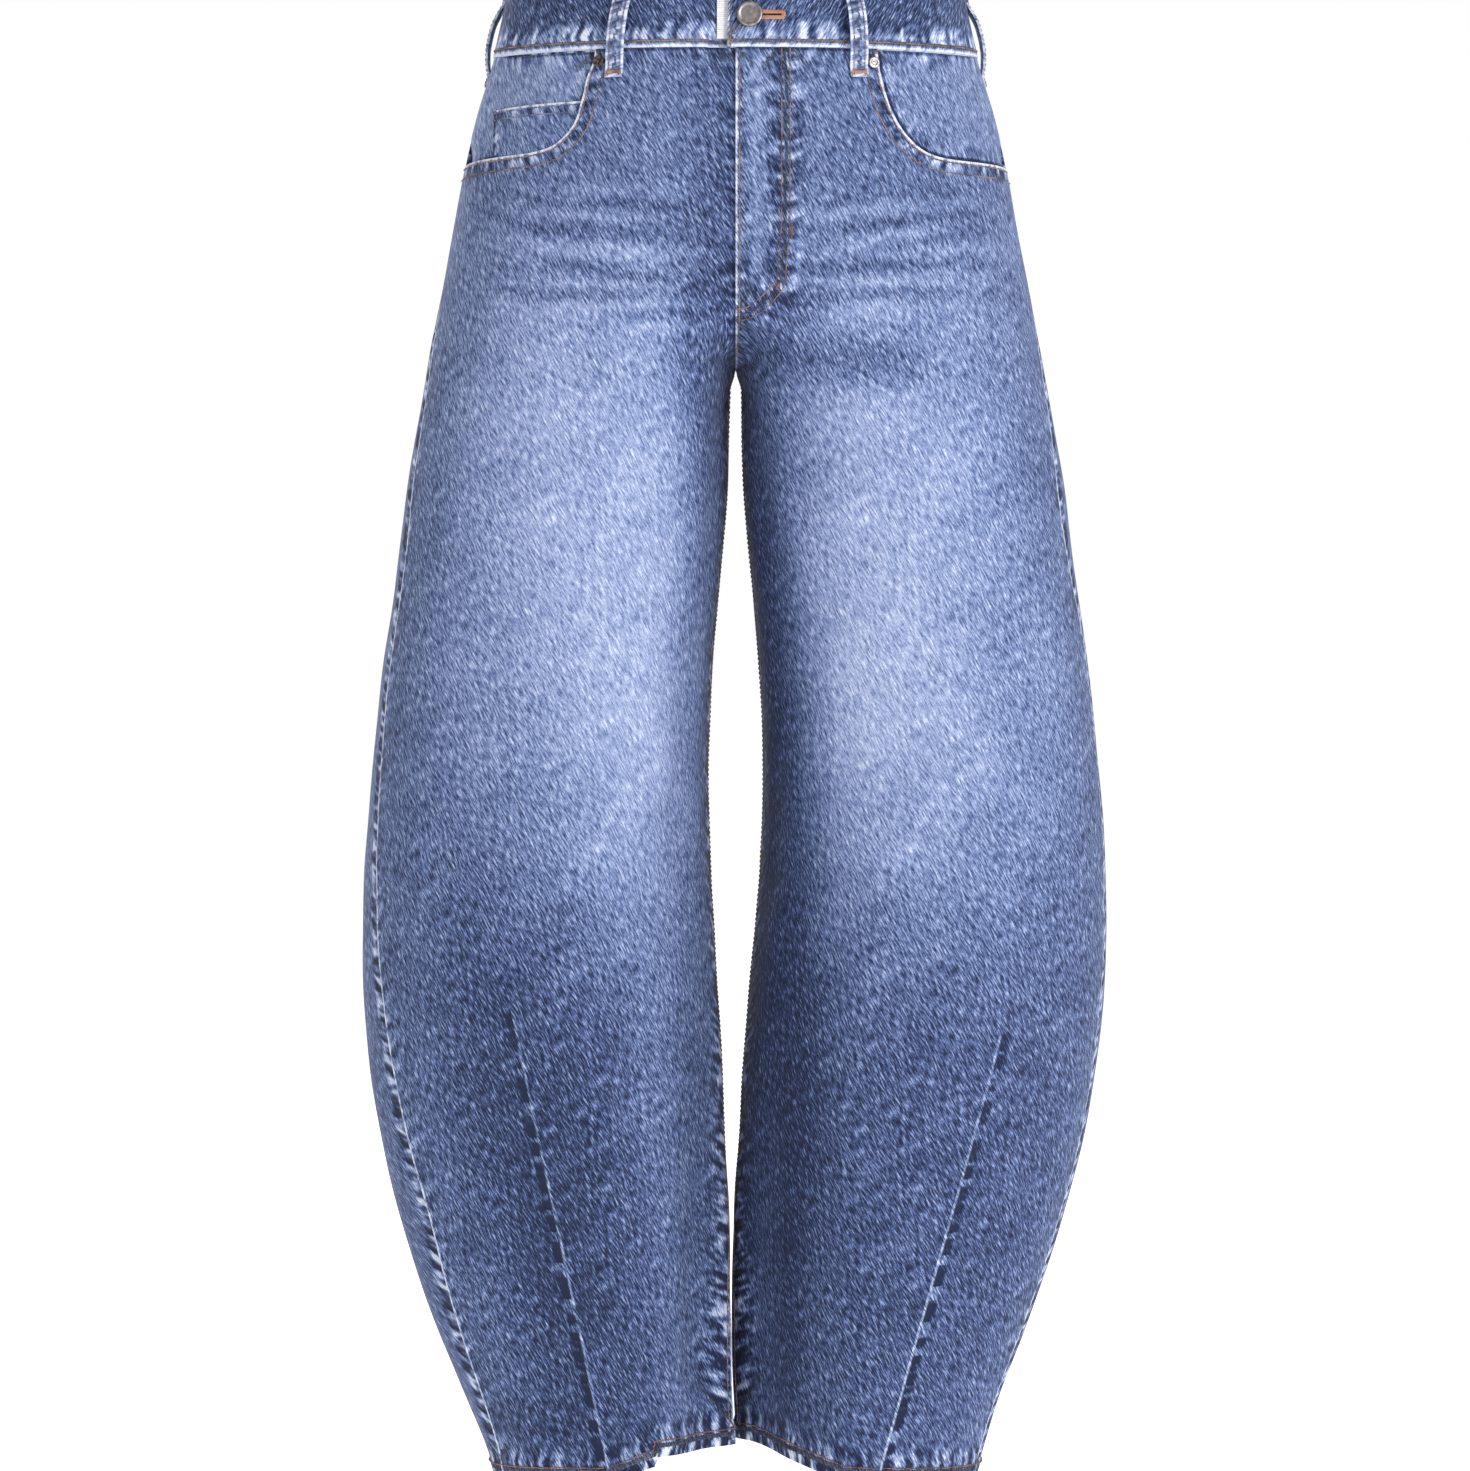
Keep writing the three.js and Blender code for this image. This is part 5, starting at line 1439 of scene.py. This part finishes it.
# Thread. Core spun topstitching thread: tan along the seams and at the fly, brown on the hems, and a
# brighter orange for the loops' bartacks and the buttonhole. The rows are made along lines on the cloth,
# with one arched stitch in each length of the row.
def thread_material(name, deep, bright):
    material, tree = new_material(name)
    place = node(tree, "ShaderNodeTexCoord").outputs["Object"]
    # The twist of the thread, 0.6 mm apart, and slower changes where dye has rubbed in.
    twist = node(tree, "ShaderNodeTexNoise", None, Vector=place, Scale=1600.0, Detail=1.0)
    dyed = node(tree, "ShaderNodeTexNoise", None, Vector=place, Scale=120.0, Detail=2.0)
    colour = ramp(tree, dyed.outputs[0], [(0.35, deep), (0.62, bright)])
    bump = node(tree, "ShaderNodeBump", None, Strength=0.5, Distance=0.0003, Height=twist.outputs[0])
    shader = node(tree, "ShaderNodeBsdfPrincipled", None, Roughness=0.6, Normal=bump.outputs[0])
    tree.links.new(colour, shader.inputs["Base Color"])
    shader.inputs["Sheen Weight"].default_value = 0.15
    show_surface(tree, shader)
    return material


TAN_THREAD = thread_material("tan_topstitch_thread", "#4f403f", "#96796a")
BROWN_THREAD = thread_material("brown_hem_thread", "#583c36", "#92644a")
ORANGE_THREAD = thread_material("orange_bartack_thread", "#935f4c", "#cf9671")


def stitch_tree():
    """Geometry nodes that lay arched stitches along the edges of a mesh."""
    tree = bpy.data.node_groups.new("sewn_rows", "GeometryNodeTree")
    face = tree.interface
    face.new_socket("Lines", in_out="INPUT", socket_type="NodeSocketGeometry")
    for label, value in (("Spacing", 0.0032), ("Length", 0.0026), ("Width", 0.0007), ("Across", 0.0)):
        face.new_socket(label, in_out="INPUT", socket_type="NodeSocketFloat").default_value = value
    face.new_socket("Thread", in_out="INPUT", socket_type="NodeSocketMaterial")
    face.new_socket("Stitches", in_out="OUTPUT", socket_type="NodeSocketGeometry")
    given = node(tree, "NodeGroupInput").outputs
    curve = node(tree, "GeometryNodeMeshToCurve", None, i0=given["Lines"]).outputs[0]
    by_length = {"mode": "LENGTH"}
    spaced = node(tree, "GeometryNodeResampleCurve", by_length, Curve=curve, Length=given["Spacing"])
    reach = math_of(tree, "MULTIPLY", given["Length"], 0.5)
    back = math_of(tree, "MULTIPLY", reach, -1.0)
    sink = math_of(tree, "MULTIPLY", given["Width"], -0.45)
    crown = math_of(tree, "MULTIPLY", given["Width"], 0.9)
    begin = node(tree, "ShaderNodeCombineXYZ", None, X=back, Y=0.0, Z=sink).outputs[0]
    middle = node(tree, "ShaderNodeCombineXYZ", None, X=0.0, Y=0.0, Z=crown).outputs[0]
    end = node(tree, "ShaderNodeCombineXYZ", None, X=reach, Y=0.0, Z=sink).outputs[0]
    arch = node(tree, "GeometryNodeCurveQuadraticBezier", None, Resolution=3, Start=begin, Middle=middle,
                End=end).outputs[0]
    radius = math_of(tree, "MULTIPLY", given["Width"], 0.5)
    ring = node(tree, "GeometryNodeCurvePrimitiveCircle", None, Resolution=5, Radius=radius).outputs[0]
    strand = node(tree, "GeometryNodeCurveToMesh")
    tree.links.new(arch, strand.inputs[0])
    tree.links.new(ring, strand.inputs["Profile Curve"])
    strand.inputs["Fill Caps"].default_value = True
    spin = node(tree, "ShaderNodeCombineXYZ", None, X=0.0, Y=0.0, Z=given["Across"]).outputs[0]
    stitch = node(tree, "GeometryNodeTransform", None, Geometry=strand.outputs[0], Rotation=spin).outputs[0]
    tangent = node(tree, "GeometryNodeInputTangent").outputs[0]
    facing = node(tree, "GeometryNodeInputNamedAttribute", {"data_type": "FLOAT_VECTOR"})
    facing.inputs["Name"].default_value = "outward"
    aim = node(tree, "FunctionNodeAlignRotationToVector", {"axis": "X"}, Vector=tangent)
    stand = node(tree, "FunctionNodeAlignRotationToVector", {"axis": "Z", "pivot_axis": "X"})
    tree.links.new(aim.outputs[0], stand.inputs["Rotation"])
    tree.links.new(facing.outputs[0], stand.inputs["Vector"])
    rows = node(tree, "GeometryNodeInstanceOnPoints", None, Points=spaced.outputs[0], Instance=stitch,
                Rotation=stand.outputs[0]).outputs[0]
    real = node(tree, "GeometryNodeRealizeInstances", None, i0=rows).outputs[0]
    painted = node(tree, "GeometryNodeSetMaterial", None, Geometry=real, Material=given["Thread"]).outputs[0]
    output = node(tree, "NodeGroupOutput")
    tree.links.new(painted, output.inputs[0])
    return tree


SEWN_ROWS = stitch_tree()


def stitch_rows(name, lines, thread, spacing=3.2, length=2.6, width=0.9, across=0.0):
    """Stitches along lines, each a pair of points and outward directions, as one piece."""
    mesh = bpy.data.meshes.new(name)
    points = np.concatenate([line[0] for line in lines])
    facing = np.concatenate([line[1] for line in lines])
    edges = []
    first = 0
    for line, _ in lines:
        edges += [(first + i, first + i + 1) for i in range(len(line) - 1)]
        first += len(line)
    mesh.from_pydata((points * MM).tolist(), edges, [])
    keep_at_vertices(mesh, "outward", facing)
    made = add_object(name, mesh)
    rows = made.modifiers.new("rows", "NODES")
    rows.node_group = SEWN_ROWS
    values = {"Spacing": spacing * MM, "Length": length * MM, "Width": width * MM, "Across": across}
    for item in SEWN_ROWS.interface.items_tree:
        if item.in_out == "INPUT" and item.name in values:
            rows[item.identifier] = float(values[item.name])
        if item.in_out == "INPUT" and item.name == "Thread":
            rows[item.identifier] = thread
    sewn = settle(made)
    sewn.name = name
    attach(made, "root")
    return made


THREAD_LIFT = 0.25


def row_on(half, turn, z, lift=THREAD_LIFT):
    """A line of stitches on the cloth, with the directions out from it."""
    turn, z = np.broadcast_arrays(np.asarray(turn, float), np.asarray(z, float))
    out = outward(cloth, half, turn, z)
    return cloth(half, turn, z) + out * np.asarray(lift, float)[..., None], out


# Seam rows. The inseams carry a row of stitches beside the seam, the seat seam and yokes two, and the hems
# one near the top of the fold. The outseams are pressed open and show no thread.
TWIN_ROWS = (2.2, 8.4)


def seam_rows(half):
    leg = np.linspace(CROTCH - 12, HEM_INSEAM + 1, 360)
    seat = np.linspace(-102, CROTCH + 26, 90)
    wide = np.linspace(0.004, 1.996, 420)
    over = np.linspace(1.02, 1.994, 200)
    hem = hem_line(half, wide)
    rows = [row_on(half, moved(half, np.zeros(360), leg, 4.4), leg)]
    for gap in TWIN_ROWS:
        rows.append(row_on(half, over, yoke_seam(over) - gap))
    if half is LEFT:
        for gap in TWIN_ROWS:
            rows.append(row_on(half, moved(half, np.full(90, 2.0), seat, -gap), seat))
    for inset in (1.8, 8.0):
        place = pocket_edge(half, inset)
        rows.append(row_on(half, *place, POCKET_LIFT + THREAD_LIFT))
    for gap in (0.02, 0.1):
        across = np.linspace(-0.97, 0.97, 90)
        place = pocket_place(half, across, np.full(90, gap))
        rows.append(row_on(half, *place, POCKET_LIFT + THREAD_LIFT))
    stitch_rows(f"seam_stitches_{half.name}", rows, TAN_THREAD)
    hem_row = row_on(half, wide, hem + HEM_HEIGHT - 2.4, HEM_EXTRA + THREAD_LIFT)
    stitch_rows(f"hem_stitches_{half.name}", [hem_row], BROWN_THREAD)


for half in (LEFT, RIGHT):
    seam_rows(half)


# Pocket mouth rows, and the coin pocket's hem, sewn twice with thread that has taken up the indigo.
BLUE_THREAD = thread_material("dyed_topstitch_thread", "#454c68", "#8089a4")


def mouth_rows():
    rows = []
    for half in (LEFT, RIGHT):
        for gap in (2.2, 9.2):
            line = beside(mouth_line(half, 200)[25:], gap)
            turn = turn_at_x(half, line[:, 0] * half.sign, line[:, 1])
            keep = (line[:, 1] < waist_seam(turn) - 1.5) & (turn < outseam(half, line[:, 1]) - 0.01)
            rows.append(row_on(half, turn[keep], line[keep, 1]))
    stitch_rows("pocket_mouth_stitches", rows, TAN_THREAD)
    x = np.linspace(COIN_RIGHT - 1, COIN_LEFT + 1, 60)
    rows = []
    for gap in (2, 7):
        level = np.full(60, COIN_TOP - gap)
        rows.append(row_on(RIGHT, turn_at_x(RIGHT, x, level), level, -DENIM - POCKET_RECESS + 0.15))
    stitch_rows("coin_pocket_stitches", rows, BLUE_THREAD)


mouth_rows()


# Fly rows: one along the edge, and the double row that holds the facing, which turns in to the seam.
def fly_rows():
    rows = []
    down = np.linspace(-46, CROTCH + 6, 140)
    rows.append(row_on(LEFT, moved(LEFT, np.zeros(140), down, 2.4), down, FLY_PROUD + THREAD_LIFT))
    for route in FLY_ROUTES:
        x, z = route_points(route, 160)
        turn = turn_at_x(LEFT, x, z)
        rows.append(row_on(LEFT, turn, z, fly_lift(LEFT, turn, z) + THREAD_LIFT))
    stitch_rows("fly_stitches", rows, TAN_THREAD)


fly_rows()


# Waistband rows: one just above the seam, one below the top edge, and one up the overlapping end.
def band_rows():
    rows = []
    right, left = band_stations(150)
    for down in (0.045, 0.9):
        for half, turn in ((RIGHT, right), (LEFT, left)):
            x = form(half, turn, BAND_MIDDLE + 0 * turn)[..., 0]
            shown = turn[(half is LEFT) | (turn > 1) | (x < TAB_LEFT - 2)]
            points, z = band_points(half, shown, down, THREAD_LIFT)
            rows.append((points, outward(cloth, half, shown, z)))
    end = moved(LEFT, turn_at_x(LEFT, BAND_END, BAND_MIDDLE), np.array(BAND_MIDDLE), 2.0)
    down = np.linspace(0.05, 0.95, 30)
    points, z = band_points(LEFT, np.full(30, float(end)), down, THREAD_LIFT)
    rows.append((points, outward(cloth, LEFT, np.full(30, float(end)), z)))
    stitch_rows("waistband_stitches", rows, TAN_THREAD)


band_rows()


# Belt loop rows, two on each loop.
LOOP_TOP = LOOP_WALL + 0.2


def loop_rows():
    rows = []
    for loop in LOOPS:
        downs = np.linspace(0.03, 0.97, 40)
        for offset in (-3.6, 3.6):
            found = [loop_points(loop, down, np.array([offset]), LOOP_TOP) for down in downs]
            points = np.concatenate([place for place, _ in found])
            rows.append((points, np.stack([out for _, out in found])))
    stitch_rows("belt_loop_stitches", rows, TAN_THREAD, width=0.65)


loop_rows()


# Bartacks: short bars of dense stitches at the ends of the belt loops and at the fly, and the whipped
# edge of the buttonhole.
BARTACK = {"spacing": 0.6, "length": 1.9, "width": 0.55, "across": math.pi / 2}


def bartacks():
    rows = []
    for loop in LOOPS:
        for down in (0.05, 0.95):
            across = np.linspace(-5, 5, 12)
            points, out = loop_points(loop, down, across, LOOP_TOP)
            rows.append((points, np.tile(out, (12, 1))))
    stitch_rows("bartacks", rows, ORANGE_THREAD, **BARTACK)
    rows = []
    for x, top, foot, slope in ((35.4, -157, -166, 0.0), (28.5, -193.5, -199, 0.4)):
        z = np.linspace(top, foot, 12)
        turn = turn_at_x(LEFT, x + slope * (z - top), z)
        rows.append(row_on(LEFT, turn, z, 0.3))
    stitch_rows("fly_bartacks", rows, TAN_THREAD, **BARTACK)
    outline = hole_outline(0.9)
    outline = np.concatenate([outline, outline[:1]])
    dense = np.concatenate([lerp(outline[i], outline[i + 1], np.linspace(0, 1, 8)[:-1, None])
                            for i in range(len(outline) - 1)])
    rise = BAND_PROUD + FLY_PROUD + 0.2
    points = framed(BUTTON_FRAME, np.column_stack([dense, np.full(len(dense), rise)]))
    out = np.tile(BUTTON_FRAME[3], (len(dense), 1))
    stitch_rows("buttonhole_stitches", [(points, out)], ORANGE_THREAD, spacing=0.6, length=2.4, width=0.6,
                across=math.pi / 2)


bartacks()


# Button and rivets. The button is a hollow pewter cap pressed over a tack, with a rolled rim and a plain
# dished face. The rivets are copper caps, the right one antiqued dark and the left one rubbed bright.
def metal_material(name, deep, bright, roughness):
    material, tree = new_material(name)
    place = node(tree, "ShaderNodeTexCoord").outputs["Object"]
    # The tarnish lies in patches of 1 to 3 mm, with a fine tumbled grain over it.
    tarnish = node(tree, "ShaderNodeTexNoise", None, Vector=place, Scale=420.0, Detail=4.0)
    grain = node(tree, "ShaderNodeTexNoise", None, Vector=place, Scale=2400.0, Detail=2.0)
    colour = ramp(tree, tarnish.outputs[0], [(0.3, deep), (0.7, bright)])
    bump = node(tree, "ShaderNodeBump", None, Strength=0.2, Distance=0.0001, Height=grain.outputs[0])
    shader = node(tree, "ShaderNodeBsdfPrincipled", None, Metallic=1.0, Roughness=roughness,
                  Normal=bump.outputs[0])
    tree.links.new(colour, shader.inputs["Base Color"])
    show_surface(tree, shader)
    return material


PEWTER = metal_material("tumbled_pewter", "#837c7b", "#a8a1a0", 0.42)
DARK_COPPER = metal_material("antiqued_copper", "#3c3533", "#8b7f78", 0.4)
BRIGHT_COPPER = metal_material("rubbed_copper", "#a39a98", "#d8d2d0", 0.34)

# Radius and height above the cloth.
BUTTON_PROFILE = [
    (0, -3),
    (3.2, -3),
    (3.2, 1.9),
    (7.5, 1.9),
    (8.3, 2.2),
    (8.5, 2.7),
    (8.5, 3.3),
    (8.25, 3.85),
    (7.8, 4.12),
    (7.2, 4.2),
    (6.6, 4.08),
    (6.2, 3.85),
    (5.7, 3.72),
    (4.5, 3.78),
    (3, 3.9),
    (1.5, 3.97),
    (0, 4),
]
RIVET_PROFILE = [
    (0, 0.3),
    (3.9, 0.3),
    (3.9, 0.8),
    (3.7, 1.2),
    (3.3, 1.45),
    (2.8, 1.55),
    (2.3, 1.5),
    (1.9, 1.15),
    (1.4, 1.0),
    (0.8, 1.15),
    (0.4, 1.28),
    (0, 1.3),
]


def turned_cap(name, profile, place, material, stands_for):
    count = 72
    rings = profile[1:-1]
    angles = np.arange(count) * 2 * math.pi / count
    spots = [(0, 0, profile[0][1])]
    for radius, height in rings:
        spots += [(radius * math.cos(a), radius * math.sin(a), height) for a in angles]
    spots.append((0, 0, profile[-1][1]))
    faces = []
    for i in range(count):
        j = (i + 1) % count
        faces.append((0, 1 + j, 1 + i))
        for k in range(len(rings) - 1):
            a = 1 + k * count
            faces.append((a + i, a + j, a + count + j, a + count + i))
        a = 1 + (len(rings) - 1) * count
        faces.append((a + i, a + j, len(spots) - 1))
    mesh = bpy.data.meshes.new(name)
    mesh.from_pydata((framed(place, np.array(spots)) * MM).tolist(), [], faces)
    mesh.polygons.foreach_set("use_smooth", np.ones(len(faces), bool))
    mesh.set_sharp_from_angle(angle=math.radians(60))
    mesh.materials.append(material)
    made = add_object(name, mesh)
    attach(made, "root")
    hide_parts(stands_for)
    return made


turned_cap("button_cap", BUTTON_PROFILE, BUTTON_FRAME, PEWTER, "button")
for half, x, level, copper in ((LEFT, 89, -51, BRIGHT_COPPER), (RIGHT, -88.3, -50, DARK_COPPER)):
    rivet_frame = cloth_frame(half, turn_at_x(half, x, level), level, 0.3)
    name = f"rivet_{half.name}"
    turned_cap(f"{name}_cap", RIVET_PROFILE, rivet_frame, copper, name)


# Tab. A blank woven tape of undyed cotton, sewn in behind the waistband's overlapping end.
TAB_TOP = -7
TAB_BOTTOM = -36


def tape_material():
    material, tree = new_material("undyed_cotton_tape")
    uv = node(tree, "ShaderNodeUVMap", {"uv_map": "weave"}).outputs[0]
    # Ribs of the tape, 0.7 mm apart, and the unevenness of spun cotton.
    ribs = node(tree, "ShaderNodeTexWave", {"bands_direction": "Y"}, Vector=uv, Scale=220.0, Distortion=1.2)
    fluff = node(tree, "ShaderNodeTexNoise", None, Vector=uv, Scale=500.0, Detail=3.0)
    mixed = math_of(tree, "MULTIPLY_ADD", ribs.outputs[1], 0.35, fluff.outputs[0])
    colour = ramp(tree, mixed, [(0.35, "#cfcfd4"), (0.9, "#efeff2")])
    bump = node(tree, "ShaderNodeBump", None, Strength=0.5, Distance=0.0003, Height=mixed)
    shader = node(tree, "ShaderNodeBsdfPrincipled", None, Roughness=0.9, Normal=bump.outputs[0])
    tree.links.new(colour, shader.inputs["Base Color"])
    show_surface(tree, shader)
    return material


def tab():
    x = np.linspace(TAB_LEFT, TAB_RIGHT, 12)[None, :]
    z = np.linspace(TAB_TOP, TAB_BOTTOM, 22)[:, None] + 0 * x
    turn = turn_at_x(LEFT, x + 0 * z, z)
    points = lifted(LEFT, turn, z, np.full(z.shape, BAND_PROUD + FLY_PROUD - BAND_WALL - SEAM_GAP))
    piece = cloth_mesh("tab_tape", LEFT, turn, z, points, 1.0, [(points[:, 0], 0.2, 0)], flip=False)
    sew(piece, tape_material(), "tab")


tab()


# Floor and studio. A pale floor that runs out to a white surround, one large soft light high on the
# viewer's right, and an even white sky for the shadows.
FLOOR_REACH = 14
FLOOR_LEVEL = -1.05
floor_mesh = bpy.data.meshes.new("studio_floor")
floor_signs = ((-1, -1), (1, -1), (1, 1), (-1, 1))
floor_corners = [(x * FLOOR_REACH, y * FLOOR_REACH, FLOOR_LEVEL) for x, y in floor_signs]
floor_mesh.from_pydata(floor_corners, [], [(0, 1, 2, 3)])
floor_material, floor_tree = new_material("pale_studio_floor")
floor_shader = node(floor_tree, "ShaderNodeBsdfPrincipled", None, Roughness=0.9)
floor_shader.inputs["Base Color"].default_value = (0.9, 0.9, 0.9, 1)
floor_shader.inputs["Emission Color"].default_value = (1, 1, 1, 1)
floor_shader.inputs["Emission Strength"].default_value = 0.7
show_surface(floor_tree, floor_shader)
floor_mesh.materials.append(floor_material)
floor = add_object("studio_floor", floor_mesh)

world = bpy.data.worlds.new("white_studio")
world.use_nodes = True
world.node_tree.nodes.clear()
seen = node(world.node_tree, "ShaderNodeLightPath").outputs["Is Camera Ray"]
sky = node(world.node_tree, "ShaderNodeBackground", None, Color=(1, 1, 1, 1), Strength=0.5)
white = node(world.node_tree, "ShaderNodeBackground", None, Color=(1, 1, 1, 1), Strength=1.0)
mixed_sky = node(world.node_tree, "ShaderNodeMixShader", None, i0=seen, i1=sky.outputs[0],
                 i2=white.outputs[0])
world_output = node(world.node_tree, "ShaderNodeOutputWorld")
world.node_tree.links.new(mixed_sky.outputs[0], world_output.inputs[0])
bpy.context.scene.world = world


def soft_light(name, place, aim, size, power):
    lamp = bpy.data.lights.new(name, "AREA")
    lamp.shape = "DISK"
    lamp.size = size
    lamp.energy = power
    made = add_object(name, lamp)
    made.location = place
    direction = aim[0] - place[0], aim[1] - place[1], aim[2] - place[2]
    made.rotation_euler = Vector(direction).to_track_quat("-Z", "Y").to_euler()


soft_light("key_light", (2.2, -2.9, 0.8), (0, 0, -0.45), 1.2, 70)
soft_light("back_light", (-1.6, 3.2, 1.2), (0, 0, -0.5), 1.8, 40)
bpy.context.scene.view_settings.view_transform = "Standard"


# Camera, level with the middle of the garment, three metres in front of it. Its lens and place show the
# garment as large and as high as the photo does, with the same parts cut by the picture's edges.
CAMERA_LENS = 110.47
CAMERA_PLACE = (-0.0004, -3.0, -0.4847)
camera_data = bpy.data.cameras.new("camera")
camera_data.sensor_width = 36
camera_data.lens = CAMERA_LENS
camera = add_object("camera", camera_data)
camera.location = CAMERA_PLACE
camera.rotation_euler = (math.pi / 2, 0, 0)
bpy.context.scene.camera = camera
